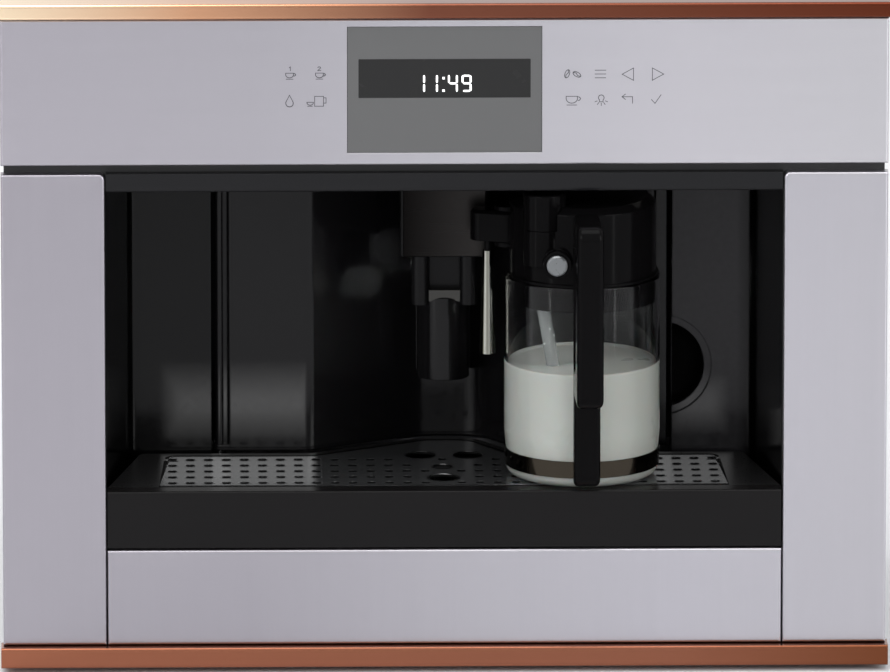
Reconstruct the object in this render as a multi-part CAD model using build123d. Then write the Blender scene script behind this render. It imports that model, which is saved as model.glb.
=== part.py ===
from build123d import *
import os
from math import atan2, cos, hypot, pi, sin, tan

# A built-in coffee machine for a 45 cm appliance niche, in millimetres.
# X runs across, Y from the front to the back, Z up. Depths are measured from the steel face of the
# front, positive towards the back, and FACE_Y puts that face in the part's own frame.

# ---- Front
TRIM_WIDTH = 597.0
TRIM_OVERHANG = 1.5
OVERALL_HEIGHT = 455.0
TOP_TRIM_HEIGHT = 10.5
TOP_TRIM_PROJECTION = 3.0
BOTTOM_TRIM_HEIGHT = 14.0
BOTTOM_TRIM_PROJECTION = 8.0
TRIM_LEG = 3.0
TRIM_ROUNDING = 2.0
CONTROL_PANEL_HEIGHT = 100.0
PANEL_GAP = 6.0
COLUMN_WIDTH = 69.5
COLUMN_CORNER = 4.0
LOWER_PANEL_HEIGHT = 65.5
LIP_HEIGHT = 12.8
LIP_SETBACK = 1.0
LIP_ROUNDING = 3.0
SEAM = 0.8
PANEL_SKIN = 1.2
PAN_DEPTH = 9.5
PAN_EDGE_RADIUS = 1.6
FRONT_DEPTH = 22.0
FRAME_MARGIN = 2.0
FRAME_RIB = 6.0
FRAME_POCKET_DEPTH = 8.0
FRAME_POCKETS = 4

# ---- Display and touch boards
WINDOW_WIDTH = 130.4
WINDOW_BOTTOM_MARGIN = 8.3
WINDOW_TOP_MARGIN = 5.5
WINDOW_THICKNESS = 3.0
WINDOW_SETBACK = 0.3
WINDOW_CLEARANCE = 0.3
DISPLAY_WIDTH = 115.0
DISPLAY_HEIGHT = 26.6
DISPLAY_RISE = 37.4
DISPLAY_RECESS = 0.8
MODULE_FLANGE = 4.0
MODULE_WIDTH = 122.0
MODULE_MARGIN = 5.1
MODULE_DEPTH = 19.0
BOARD_THICKNESS = 1.6
BOARD_HEIGHT = 40.0
BOARD_RISE = 53.5
BOARD_SPANS = ((-120.0, -72.0), (74.0, 156.0))
BOARD_BOSS_RADIUS = 3.5
BOARD_BOSS_INSET = 6.0

# ---- Housing
CABINET_OVERLAP = 18.5
BODY_DEPTH = 361.0
BODY_BOTTOM = 41.5
BODY_TOP_DROP = 41.5
SHEET = 1.2
SHEET_FLANGE = 12.0
BASE_FLANGE = 18.0
SLOT_WIDTH = 4.0
SLOT_LENGTH = 42.0
SLOT_PITCH = 12.0
SIDE_SLOTS = 7
BASE_SLOTS_X = (-89.0, 133.5)
BASE_SLOTS_BACK = 90.0
SIDE_SLOTS_BACK = 180.0
SIDE_SLOTS_RISE = 130.0
BACK_SLOTS_X = (-133.5, 0.0)
BACK_SLOTS_DROP = 93.0
COVER_SLOTS_X = -133.5
COVER_SLOTS_BACK = 60.0
SCREW_HEAD_RADIUS = 3.5
SCREW_HEAD_HEIGHT = 1.6
SCREW_INSET = 6.0

# ---- Telescopic rails
RAIL_THICKNESS = 12.7
RAIL_HEIGHT = 45.7
RAIL_LENGTH = 350.0
RAIL_START = 28.0
RAIL_CENTRE_Z = 92.0
RAIL_SHEET = 1.5
RAIL_CHANNEL_DEPTH = 9.5
RAIL_PLAY = 0.5
RAIL_LIP = 4.0
RAIL_HOLE_RADIUS = 2.6
RAIL_HOLE_SPACING = 224.0
RAIL_FIRST_HOLE = 37.0

# ---- Niche
NICHE_DRAFT = 16.5
NICHE_CORNER = 5.0
LINER_WALL = 2.5
LINER_FLANGE = 8.0
LIP_DROP = 0.8
TRAY_CLEARANCE = 0.5
JAMB_DEPTH = 22.0
JAMB_WIDTH = 54.7
DOORWAY_HEADROOM = 2.5
LAMP_RADIUS = 12.5
LAMP_X = 139.0
LAMP_DEPTH = 44.0
LAMP_THICKNESS = 4.5
SCOOP_HEIGHT = 68.0
SCOOP_REACH = 27.0
SCOOP_DEPTH = 18.0
SCOOP_BEVEL = 5.0
SCOOP_RISE = 59.3

# ---- Service door with its trough
DOOR_SIDE_GAP = 10.8
DOOR_FACE = 118.0
DOOR_THICKNESS = 14.0
DOOR_SKIN = 2.5
DOOR_EDGE_RADIUS = 2.5
DOOR_FLOOR_GAP = 0.8
DOOR_TOP_GAP = 5.0
TROUGH_FLOOR = 162.0
TROUGH_LEFT_START = -89.5
TROUGH_LEFT_END = -14.5
TROUGH_RIGHT_END = 23.7
TROUGH_RIGHT_START = 54.7
TROUGH_EDGE_RADIUS = 12.0
TROUGH_FLOOR_RADIUS = 26.0
HINGE_GAP = 5.4
HINGE_SETBACK = 4.7
HINGE_PIN_RADIUS = 2.3
HINGE_EYE_WALL = 2.2
HINGE_EYE_HEIGHT = 4.0
HINGE_LUG_HEIGHT = 8.0
BARREL_RADIUS = 2.9
CLOSING_STRIP = 7.5
COLUMN_RADIUS = 17.7
COLUMN_FRONT = 125.0
COLUMN_RISE = 46.5
RUNNING_FIT = 0.08

# ---- Coffee outlet on the door
OUTLET_X = 1.5
OUTLET_TRAVEL = 35.0
CARRIAGE_WIDTH = 60.0
CARRIAGE_FRONT = 89.5
CARRIAGE_REAR = 138.0
CARRIAGE_TOP_GAP = 7.5
CARRIAGE_HEIGHT = 57.5
CARRIAGE_EDGE = 2.0
PLATE_WIDTH = 56.0
PLATE_THICKNESS = 1.5
PLATE_EDGE = 0.5
NOZZLE_BLOCK_WIDTH = 44.5
NOZZLE_WIDTH = 12.0
NOZZLE_DEPTH = 16.0
NOZZLE_DROP = 34.0
NOZZLE_ROUNDING = 5.0
NOZZLE_BORE_RADIUS = 2.2
NOZZLE_BORE_DEPTH = 15.0
NOZZLE_BACK = 7.0
BRIDGE_HEIGHT = 8.0
BRIDGE_RAISE = 2.5
BRIDGE_ARCH_RADIUS = 17.0
BRIDGE_ARCH_RISE = 2.7
BRIDGE_DEPTH = 8.0
GUIDE_HALF = 4.0
GUIDE_DEPTH = 12.0
TONGUE_HALF = 11.0
SLIDING_PLAY = 0.4

# ---- Milk jug
JUG_X = 93.6
JUG_DEPTH = 55.0
JUG_RADIUS = 52.5
JUG_FOOT_RADIUS = 51.5
JUG_WALL = 2.5
JUG_BASE = 4.0
JUG_CORNER = 7.0
JUG_SHOULDER_HEIGHT = 30.0
JUG_LIFT = 0.4
BAND_BOTTOM = 7.4
BAND_HEIGHT = 11.4
BAND_THICKNESS = 0.8
MILK_HEADROOM = 60.0
LID_ROOM = 68.4
LID_RADIUS = 49.6
LID_HEIGHT = 54.0
LID_SKIRT = 17.0
LID_BEAD = 1.8
LID_BEAD_HEIGHT = 2.0
LID_BEVEL = 4.5
HANDLE_ANGLE = 2.0
HANDLE_WIDTH = 18.0
HANDLE_REACH = 96.0
GRIP_THICKNESS = 18.0
STRAP_THICKNESS = 11.0
GRIP_BOTTOM = 64.0
HANDLE_RISE = 51.0
HANDLE_ARM = 20.0
HANDLE_FOOT = 2.5
GRIP_ROUNDING = 9.0
HANDLE_EDGE = 4.0
KNOB_RADIUS = 14.5
KNOB_X = 67.5
KNOB_DEPTH = 22.0
TOWER_BOTTOM = 13.5
TOWER_TOP = 38.0
KNOB_HEIGHT = 24.7
KNOB_STUD_RADIUS = 4.0
KNOB_STUD_HEIGHT = 12.0
KNOB_GAP = 0.3
KNOB_BEVEL = 1.0
BUTTON_X = 75.4
BUTTON_RISE = 16.6
BUTTON_RADIUS = 7.0
BUTTON_COLLAR_RADIUS = 9.5
BUTTON_COLLAR_DEPTH = 1.0
BUTTON_PROUD = 2.4
BUTTON_LENGTH = 6.0
BUTTON_BEVEL = 1.0
BUTTON_TRAVEL = 2.0
STRAW_RADIUS = 4.4
STRAW_BORE_RADIUS = 3.2
STRAW_TOP_X = 66.8
STRAW_BOTTOM_X = 84.0
STRAW_DEPTH = 34.0
STRAW_BOTTOM_RISE = 14.0
CONNECTOR_X = 78.0
CONNECTOR_RISE = 32.0
CONNECTOR_BORE_RADIUS = 5.6
CONNECTOR_WALL = 3.0
CONNECTOR_GAP = 6.0
NOZZLE_TIP_RADIUS = 5.0
NOZZLE_FLANGE_RADIUS = 9.5
NOZZLE_FLANGE = 3.0
NOZZLE_REACH = 17.0

# ---- Milk outlet on the jug's lid
SPOUT_PIVOT_X = 43.0
SPOUT_PIVOT_DEPTH = 66.0
SPOUT_X = 30.5
SPOUT_DEPTH = 71.0
SPOUT_PIN_RADIUS = 3.0
SPOUT_ARM_RADIUS = 8.5
SPOUT_ARM_OVERHANG = 3.5
SPOUT_ARM_BOTTOM = 20.0
SPOUT_ARM_HEIGHT = 21.0
SPOUT_ARM_BEVEL = 2.0
SPOUT_EAR = 3.0
SPOUT_EAR_GAP = 0.4
SPOUT_NECK_RADIUS = 2.6
SPOUT_NECK_LENGTH = 8.0
SPOUT_TUBE_TOP_RADIUS = 3.7
SPOUT_TUBE_END_RADIUS = 5.5
SPOUT_TUBE_LENGTH = 71.0
SPOUT_TUBE_BORE_RADIUS = 2.9
SPOUT_TUBE_WALL = 0.8

# ---- Drip tray
FASCIA_HEIGHT = 39.4
FASCIA_SETBACK = 2.0
FASCIA_THICKNESS = 14.0
FASCIA_ROUNDING = 1.5
TRAY_WALL = 2.5
TRAY_SIDE_GAP = 1.5
TRAY_REAR_GAP = 5.0
TRAY_FLANGE = 2.6
GRILLE_WALL_GAP = 13.0
GRILLE_FRONT = 18.5
GRILLE_SIDE_GAP = 36.0
GRILLE_DRAFT = 6.5
GRILLE_THICKNESS = 1.6
GRILLE_CORNER = 6.0
GRILLE_CLEARANCE = 0.4
GRILLE_LEDGE = 4.0
HOLE_SIZE = 6.0
HOLE_PITCH_X = 12.2
HOLE_PITCH_DEPTH = 16.7
HOLE_ROWS = 5
HOLE_FIRST_DEPTH = 27.0
HOLE_EDGE = 1.5
HOLE_CLEARANCE = 7.0
WELL_RADIUS = 10.0
WELL_DEPTH = 106.0
WELL_OFFSET = 16.0
FRONT_WELL_DEPTH = 40.6
FLOAT_DEPTH = 72.4
FLOAT_RADIUS = 6.0
FLOAT_HOLE_RADIUS = 6.7
FLOAT_HEIGHT = 20.0
FLOAT_DISC_RADIUS = 16.0
FLOAT_DISC = 4.0
FLOAT_RISE = 6.0

# ---- Bean hopper, powder chute, grinder
HOPPER_X = -130.0
HOPPER_DEPTH = 255.0
HOPPER_SIZE = 140.0
HOPPER_WALL = 2.0
HOPPER_FLANGE = 6.0
HOPPER_STRAIGHT = 26.0
HOPPER_OUTLET = 44.0
POWDER_X = 45.0
POWDER_DEPTH = 235.0
POWDER_SIZE = 34.0
LID_THICKNESS = 3.0
LID_GAP = 0.5
LID_BARREL_RADIUS = 3.0
LID_PIN_RADIUS = 1.5
LID_PIN_LENGTH = 5.0
LID_EAR = 4.0
GRINDER_RADIUS = 36.0
GRINDER_HEIGHT = 42.0
GRINDER_NECK_RADIUS = 24.0
GRINDER_MOUTH_RADIUS = 12.0
GRINDER_MOTOR_RADIUS = 24.0
GRINDER_MOTOR_LENGTH = 52.0
ADJUSTER_X = -30.0
ADJUSTER_HEIGHT = 84.0
ADJUSTER_SIZE = 18.0
ADJUSTER_BORE = 16.0
GRIND_KNOB_RADIUS = 14.0
GRIND_KNOB_HEIGHT = 12.0
GRIND_SPINDLE_RADIUS = 3.9
GRIND_KNOB_FLUTES = 10
FLUTE_RADIUS = 2.0
FLUTE_OFFSET = 1.0

# ---- Bay behind the door and what stands in it
BAY_REAR = 300.0
BAY_CEILING_DROP = 21.0
BAY_FRONT = 158.0
BAY_STEP_GAP = 3.0
BREW_X = -65.0
BREW_WIDTH = 116.0
BREW_DEPTH = 104.0
BREW_HEADROOM = 26.1
BREW_GAP_FRONT = 26.0
BREW_WALL = 5.0
BREW_BASE = 10.0
BREW_CORNER = 20.0
BREW_CYLINDER_RADIUS = 28.0
BREW_CYLINDER_TOP = 79.0
BREW_FUNNEL_HEIGHT = 15.8
BREW_FUNNEL_GROWTH = 5.0
BREW_BEAM = 10.0
BREW_BORE_RISE = 39.5
BREW_GRIP_RISE = 52.7
GROUNDS_GAP = 23.0
GROUNDS_SIDE_GAP = 20.3
GROUNDS_LENGTH = 104.0
GROUNDS_HEIGHT = 100.0
GROUNDS_WALL = 2.0
GROUNDS_CORNER = 8.0

# ---- Water and power
TANK_SIDE_GAP = 11.1
TANK_WIDTH = 80.0
TANK_FRONT = 165.0
TANK_LENGTH = 200.0
TANK_BOTTOM = 230.0
TANK_WALL = 2.4
TANK_RIM = 4.0
TANK_RIM_THICKNESS = 2.0
TANK_PLAY = 1.5
TANK_CORNER = 12.0
TANK_VALVE_RADIUS = 6.0
TANK_VALVE_LENGTH = 8.0
TANK_VALVE_BACK = 160.0
SHELF_THICKNESS = 2.0
BLOCK_X = -70.0
BLOCK_WIDTH = 100.0
BLOCK_LENGTH = 46.0
BLOCK_HEIGHT = 110.0
BLOCK_LEG = 46.0
BLOCK_FINS = 6
FIN_HEIGHT = 6.0
FIN_THICKNESS = 6.0
PUMP_X = 70.0
PUMP_DEPTH = 338.0
PUMP_RADIUS = 20.0
PUMP_LENGTH = 84.0
PUMP_CENTRE_RISE = 34.0
PUMP_COIL = 46.0
PUMP_SPIGOT_RADIUS = 4.0
PUMP_SPIGOT_LENGTH = 16.0
BOARD_STANDOFF = 5.0
POWER_BOARD_FRONT = 180.0
POWER_BOARD_LENGTH = 150.0
POWER_BOARD_BOTTOM = 170.0
POWER_BOARD_HEIGHT = 120.0
HEAT_SINK_START = 15.0
HEAT_SINK_LENGTH = 45.0
HEAT_SINK_MARGIN = 30.0
HEAT_SINK_PROUD = 22.0
CAPACITORS = 3
CAPACITOR_START = 82.5
CAPACITOR_PITCH = 22.5
CAPACITOR_RISE = 40.0
CAPACITOR_RADIUS = 8.0
CAPACITOR_LENGTH = 25.0
INLET_X = 190.0
INLET_Z = 90.0
INLET_PLATE_WIDTH = 50.0
INLET_PLATE_HEIGHT = 62.0
INLET_PLATE = 2.5
INLET_SOCKET_WIDTH = 24.0
INLET_SOCKET_HEIGHT = 16.6
INLET_SOCKET_DEPTH = 17.0
INLET_WALL = 2.0
INLET_PIN_WIDTH = 2.0
INLET_PIN_HEIGHT = 4.0
INLET_PIN_LENGTH = 14.0
INLET_PIN_SPREAD = 7.0
INLET_PIN_DROP = 1.0
EARTH_PIN_RISE = 3.0
SOCKET_DROP = 14.0
SWITCH_RISE = 14.0
SWITCH_WIDTH = 14.0
SWITCH_HEIGHT = 20.0
SWITCH_DEPTH = 9.0
SWITCH_PLAY = 1.6
SWITCH_EDGE = 1.5
SWITCH_TILT = 7.0

# ---- Levels and places worked out from the sizes above
PANEL_WIDTH = TRIM_WIDTH - 2 * TRIM_OVERHANG
PANEL_HALF = PANEL_WIDTH / 2
CABINET_OPENING = TRIM_WIDTH - 2 * CABINET_OVERLAP
HANDLE_FRONT = JUG_DEPTH - HANDLE_REACH
REAR = FRONT_DEPTH + BODY_DEPTH
REAR_MOST = REAR + INLET_PLATE
FRONT_MOST = min(HANDLE_FRONT, -BOTTOM_TRIM_PROJECTION, -TOP_TRIM_PROJECTION)
FACE_Y = -(FRONT_MOST + REAR_MOST) / 2
CONTROL_TOP = OVERALL_HEIGHT - TOP_TRIM_HEIGHT
CONTROL_BOTTOM = CONTROL_TOP - CONTROL_PANEL_HEIGHT
WINDOW_BOTTOM = CONTROL_BOTTOM + WINDOW_BOTTOM_MARGIN
WINDOW_HEIGHT = CONTROL_PANEL_HEIGHT - WINDOW_BOTTOM_MARGIN - WINDOW_TOP_MARGIN
DISPLAY_BOTTOM = WINDOW_BOTTOM + DISPLAY_RISE
MODULE_HEIGHT = WINDOW_HEIGHT - 2 * MODULE_MARGIN
BOARD_CENTRE_Z = CONTROL_BOTTOM + BOARD_RISE
COLUMN_TOP = CONTROL_BOTTOM - PANEL_GAP
LIP_BOTTOM = COLUMN_TOP - LIP_HEIGHT
CEILING = LIP_BOTTOM + LIP_DROP
LOWER_PANEL_TOP = BOTTOM_TRIM_HEIGHT + LOWER_PANEL_HEIGHT
BAY_FLOOR = LOWER_PANEL_TOP + SEAM
TRAY_TOP = BAY_FLOOR + FASCIA_HEIGHT
NICHE_HALF = PANEL_HALF - COLUMN_WIDTH
NICHE_REAR_HALF = NICHE_HALF - NICHE_DRAFT
DOORWAY_HALF = NICHE_REAR_HALF - JAMB_WIDTH
DOOR_HALF = DOORWAY_HALF - DOOR_SIDE_GAP
SCOOP_CENTRE_Z = TRAY_TOP + SCOOP_RISE
BODY_HALF = CABINET_OPENING / 2 - RAIL_THICKNESS
BODY_TOP = OVERALL_HEIGHT - BODY_TOP_DROP
BASE_TOP = BODY_BOTTOM + SHEET
COVER_UNDER = BODY_TOP - SHEET
DOOR_BOTTOM = TRAY_TOP + DOOR_FLOOR_GAP
DOORWAY_TOP = CEILING - LINER_WALL
DOOR_TOP = DOORWAY_TOP - DOOR_TOP_GAP + DOORWAY_HEADROOM
HINGE_X = -(DOOR_HALF + HINGE_GAP)
HINGE_DEPTH = DOOR_FACE + HINGE_SETBACK
CARRIAGE_BOTTOM = CEILING - CARRIAGE_TOP_GAP - CARRIAGE_HEIGHT
JUG_BOTTOM = TRAY_TOP + JUG_LIFT
JUG_RIM = CEILING - LID_ROOM
JUG_HEIGHT = JUG_RIM - JUG_BOTTOM
JUG_INNER = JUG_RADIUS - JUG_WALL
MILK_HEIGHT = JUG_HEIGHT - MILK_HEADROOM
LID_TOP = JUG_RIM + LID_HEIGHT
HANDLE_TOP = JUG_HEIGHT + HANDLE_RISE
DECK = TRAY_TOP - SEAM
GRILLE_FRONT_HALF = NICHE_HALF - GRILLE_SIDE_GAP
GRILLE_REAR_HALF = GRILLE_FRONT_HALF - GRILLE_DRAFT
HOLE_COLUMNS = int((GRILLE_REAR_HALF - HOLE_EDGE) / HOLE_PITCH_X)
BAY_TOP = DOORWAY_TOP - BAY_CEILING_DROP
BREW_HEIGHT = BAY_TOP - DECK - BREW_HEADROOM
GROUNDS_LEFT = BREW_X + BREW_WIDTH / 2 + GROUNDS_GAP
GROUNDS_WIDTH = DOORWAY_HALF - GROUNDS_SIDE_GAP - GROUNDS_LEFT
GROUNDS_X = GROUNDS_LEFT + GROUNDS_WIDTH / 2
TANK_X = BODY_HALF - SHEET - TANK_SIDE_GAP - TANK_WIDTH / 2


# ---- Shared ways of making a shape
def block(x, depth, z):
    """A block from its limits across, in depth behind the steel face, and in height."""
    size = Box(x[1] - x[0], depth[1] - depth[0], z[1] - z[0])
    return Pos((x[0] + x[1]) / 2, FACE_Y + (depth[0] + depth[1]) / 2, (z[0] + z[1]) / 2) * size


def around(centre, width):
    """The limits of a width centred on a place."""
    return centre - width / 2, centre + width / 2


def post(x, depth, z, radius, top_radius=None):
    """An upright round, or a cone where the top has a radius of its own."""
    height = z[1] - z[0]
    place = Pos(x, FACE_Y + depth, (z[0] + z[1]) / 2)
    if top_radius is None:
        return place * Cylinder(radius, height)
    return place * Cone(radius, top_radius, height)


def round_along_depth(x, depth, z, radius):
    """A round that runs from the front to the back."""
    place = Pos(x, FACE_Y + (depth[0] + depth[1]) / 2, z) * Rot(X=90)
    return place * Cylinder(radius, depth[1] - depth[0])


def round_across(x, depth, z, radius):
    """A round that runs from left to right."""
    place = Pos((x[0] + x[1]) / 2, FACE_Y + depth, z) * Rot(Y=90)
    return place * Cylinder(radius, x[1] - x[0])


def plan_face(corners):
    """A face in plan from corners of (x, depth, rounding)."""
    face = make_face(Polyline(*[(x, depth) for x, depth, _ in corners], close=True))
    for x, depth, rounding in corners:
        if rounding > 0:
            nearest = face.vertices().sort_by_distance(Vector(x, depth, 0))[0]
            face = fillet(nearest, rounding)
    return face


def plan_prism(face, z):
    """A plan face carried up between two heights."""
    plane = Plane(origin=(0, FACE_Y, z[0]), x_dir=(1, 0, 0), z_dir=(0, 0, 1))
    return extrude(plane * face, z[1] - z[0])


def side_prism(points, x):
    """An outline of (depth, height) points carried across between two places."""
    plane = Plane(origin=(x[0], FACE_Y, 0), x_dir=(0, 1, 0), z_dir=(1, 0, 0))
    return extrude(plane * make_face(Polyline(*points, close=True)), x[1] - x[0])


def nearest_edges(solid, axis, places):
    """The edges along an axis whose middles lie nearest to each place."""
    edges = solid.edges().filter_by(axis)
    return [min(edges, key=lambda edge: (edge.center() - Vector(*place)).length) for place in places]


def mirrored(solid):
    """The same piece on the other side of the machine."""
    return mirror(solid, about=Plane.YZ)


def turned(profile):
    """A solid turned about the Z axis from a closed outline of (radius, height) points."""
    return revolve(Plane.XZ * make_face(profile), Axis.Z)


def save(name, *solids):
    """Write one sub-part, as a single solid or as a group of like solids."""
    shape = solids[0] if len(solids) == 1 else Compound(children=list(solids))
    shape.label = name
    export_step(shape, os.path.join("parts", name + ".step"))


# ---- Telescopic rails
def rail_side(sign):
    """The outer, middle and inner members of the rail on one side."""
    cabinet = CABINET_OPENING / 2
    run = (RAIL_START, RAIL_START + RAIL_LENGTH)

    def channel(inset, reach, half, lip_inward):
        """A channel whose web stands at an inset from the cabinet, with its flanges and lips."""
        web_side = inset if lip_inward else inset - RAIL_SHEET
        flange = sorted((inset, reach))
        lip_start = reach - RAIL_SHEET if lip_inward else reach
        parts = block(
            (cabinet - web_side - RAIL_SHEET, cabinet - web_side),
            run,
            (RAIL_CENTRE_Z - half, RAIL_CENTRE_Z + half),
        )
        for side in (-1, 1):
            flange_z = sorted((RAIL_CENTRE_Z + side * half, RAIL_CENTRE_Z + side * (half - RAIL_SHEET)))
            lip_tip = half - RAIL_LIP - RAIL_SHEET if lip_inward else half + RAIL_LIP
            lip_z = sorted((RAIL_CENTRE_Z + side * half, RAIL_CENTRE_Z + side * lip_tip))
            parts += block((cabinet - flange[1], cabinet - flange[0]), run, flange_z)
            parts += block((cabinet - lip_start - RAIL_SHEET, cabinet - lip_start), run, lip_z)
        return parts

    outer_half = RAIL_HEIGHT / 2
    outer_reach = RAIL_CHANNEL_DEPTH
    middle_inset = RAIL_SHEET + RAIL_PLAY
    middle_half = outer_half - RAIL_SHEET - RAIL_PLAY
    middle_reach = outer_reach - RAIL_SHEET - RAIL_PLAY
    inner_reach = middle_inset + RAIL_SHEET + RAIL_PLAY
    inner_half = middle_half - 2 * RAIL_SHEET - RAIL_LIP - RAIL_PLAY
    outer = channel(0, outer_reach, outer_half, True)
    for hole_depth in (RAIL_FIRST_HOLE, RAIL_FIRST_HOLE + RAIL_HOLE_SPACING):
        web = (cabinet - RAIL_SHEET - 0.1, cabinet + 0.1)
        outer -= round_across(web, RAIL_START + hole_depth, RAIL_CENTRE_Z, RAIL_HOLE_RADIUS)
    middle = channel(middle_inset, middle_reach, middle_half, True)
    inner = channel(RAIL_THICKNESS, inner_reach, inner_half, False)
    members = (outer, middle, inner)
    return members if sign > 0 else tuple(mirrored(member) for member in members)


# ---- Housing
def slots(x, depth, z, pitch, count, axis):
    """A row of ventilation slots, stepped along one axis."""
    steps = [(index - (count - 1) / 2) * pitch for index in range(count)]
    cuts = []
    for step in steps:
        dx, dd, dz = (step if axis == name else 0 for name in ("x", "depth", "z"))
        cuts.append(block((x[0] + dx, x[1] + dx), (depth[0] + dd, depth[1] + dd), (z[0] + dz, z[1] + dz)))
    return Compound(children=cuts)


def chassis_base():
    """The bottom sheet with its front flange and its air slots."""
    base = block((-BODY_HALF, BODY_HALF), (FRONT_DEPTH, REAR), (BODY_BOTTOM, BASE_TOP))
    flange_x = BODY_HALF - SHEET_FLANGE - SHEET
    flange_z = (BASE_TOP, BASE_TOP + BASE_FLANGE)
    base += block((-flange_x, flange_x), (FRONT_DEPTH, FRONT_DEPTH + SHEET), flange_z)
    cut_z = (BODY_BOTTOM - 1, BASE_TOP + 1)
    for centre in BASE_SLOTS_X:
        base -= slots(around(centre, SLOT_LENGTH), around(FRONT_DEPTH + BASE_SLOTS_BACK, SLOT_WIDTH),
                      cut_z, SLOT_PITCH, SIDE_SLOTS, "depth")
    return base


def side_panel():
    """The right side sheet with its folded flanges, air slots and the shelf for the water tank."""
    z = (BASE_TOP, COVER_UNDER)
    depth = (FRONT_DEPTH, REAR - SHEET)
    panel = block((BODY_HALF - SHEET, BODY_HALF), depth, z)
    fold = (BODY_HALF - SHEET - SHEET_FLANGE, BODY_HALF - SHEET)
    panel += block(fold, depth, (z[0], z[0] + SHEET))
    panel += block(fold, (depth[0], TANK_FRONT - TANK_PLAY - TANK_RIM), (z[1] - SHEET, z[1]))
    through = (BODY_HALF - SHEET - 1, BODY_HALF + 1)
    slot_depth = around(FRONT_DEPTH + SIDE_SLOTS_BACK, SLOT_LENGTH)
    slot_z = around(BODY_BOTTOM + SIDE_SLOTS_RISE, SLOT_WIDTH)
    panel -= slots(through, slot_depth, slot_z, SLOT_PITCH, SIDE_SLOTS, "z")
    return panel


def tank_shelf():
    """The folded shelf on the right side panel that the water tank stands on."""
    shelf_x = (TANK_X - TANK_WIDTH / 2 - TANK_PLAY, BODY_HALF - SHEET)
    depth = (TANK_FRONT - TANK_PLAY, TANK_FRONT + TANK_LENGTH + TANK_PLAY)
    shelf = block(shelf_x, depth, (TANK_BOTTOM - SHELF_THICKNESS, TANK_BOTTOM))
    rear = TANK_FRONT + TANK_VALVE_BACK
    hole_z = (TANK_BOTTOM - SHELF_THICKNESS - 1, TANK_BOTTOM + 1)
    return shelf - post(TANK_X, rear, hole_z, TANK_VALVE_RADIUS + TANK_PLAY)


def back_panel():
    """The rear sheet with the cut-out for the power inlet and rows of air slots."""
    half = BODY_HALF - SHEET
    panel = block((-half, half), (REAR - SHEET, REAR), (BASE_TOP, COVER_UNDER))
    through = (REAR - SHEET - 1, REAR + 1)
    cut_x = around(INLET_X, INLET_PLATE_WIDTH - 2 * TRIM_LEG)
    panel -= block(cut_x, through, around(INLET_Z, INLET_PLATE_HEIGHT - 2 * TRIM_LEG))
    for centre in BACK_SLOTS_X:
        panel -= slots(around(centre, SLOT_LENGTH), through, around(BODY_TOP - BACK_SLOTS_DROP, SLOT_WIDTH),
                       SLOT_PITCH, SIDE_SLOTS, "z")
    return panel


def top_cover():
    """The top sheet, open over the hopper, the powder chute, the grind knob and the tank."""
    cover = block((-BODY_HALF, BODY_HALF), (FRONT_DEPTH, REAR), (COVER_UNDER, BODY_TOP))
    cut_z = (COVER_UNDER - 1, BODY_TOP + 1)
    cover -= block(around(HOPPER_X, HOPPER_SIZE), around(HOPPER_DEPTH, HOPPER_SIZE), cut_z)
    cover -= block(around(POWDER_X, POWDER_SIZE), around(POWDER_DEPTH, POWDER_SIZE), cut_z)
    cover -= post(ADJUSTER_X, HOPPER_DEPTH, cut_z, GRIND_SPINDLE_RADIUS + TANK_PLAY)
    tank_depth = (TANK_FRONT - TANK_PLAY, TANK_FRONT + TANK_LENGTH + TANK_PLAY)
    cover -= block(around(TANK_X, TANK_WIDTH + 2 * TANK_PLAY), tank_depth, cut_z)
    cover -= slots(around(COVER_SLOTS_X, SLOT_LENGTH), around(FRONT_DEPTH + COVER_SLOTS_BACK, SLOT_WIDTH),
                   cut_z, SLOT_PITCH, SIDE_SLOTS, "depth")
    return cover


def housing_screws():
    """Pan-head screws that hold the top cover and the back panel."""
    heads = []
    for x in (-BODY_HALF + SCREW_INSET, 0.0, BODY_HALF - SCREW_INSET):
        for depth in (FRONT_DEPTH + SCREW_INSET, REAR - SCREW_INSET):
            heads.append(post(x, depth, (BODY_TOP, BODY_TOP + SCREW_HEAD_HEIGHT), SCREW_HEAD_RADIUS))
    for x in (-BODY_HALF + 2 * SCREW_INSET, BODY_HALF - 2 * SCREW_INSET):
        for z in (BODY_BOTTOM + 2 * SCREW_INSET, BODY_TOP - 2 * SCREW_INSET):
            heads.append(round_along_depth(x, (REAR, REAR + SCREW_HEAD_HEIGHT), z, SCREW_HEAD_RADIUS))
    return heads


# ---- Front
def folded_pan(x, z, rounded_corner=None):
    """A steel front panel: a shallow pan folded from sheet, open at the back."""
    pan = block(x, (0, PAN_DEPTH), z)
    if rounded_corner:
        place = (rounded_corner[0], FACE_Y + PAN_DEPTH / 2, rounded_corner[1])
        pan = fillet(nearest_edges(pan, Axis.Y, [place]), COLUMN_CORNER)
    pan = fillet(pan.faces().sort_by(Axis.Y)[0].edges(), PAN_EDGE_RADIUS)
    return offset(pan, amount=-PANEL_SKIN, openings=pan.faces().sort_by(Axis.Y)[-1])


def control_panel():
    """The upper steel panel with the display cut-out."""
    panel = folded_pan((-PANEL_HALF, PANEL_HALF), (CONTROL_BOTTOM, CONTROL_TOP - SEAM / 2))
    window_z = (WINDOW_BOTTOM, WINDOW_BOTTOM + WINDOW_HEIGHT)
    return panel - block(around(0, WINDOW_WIDTH), (-1, PANEL_SKIN + 1), window_z)


def column():
    """The right-hand steel panel beside the niche."""
    inner = PANEL_HALF - COLUMN_WIDTH
    z = (BOTTOM_TRIM_HEIGHT + SEAM / 2, COLUMN_TOP)
    return folded_pan((inner, PANEL_HALF), z, rounded_corner=(inner, COLUMN_TOP))


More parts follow.
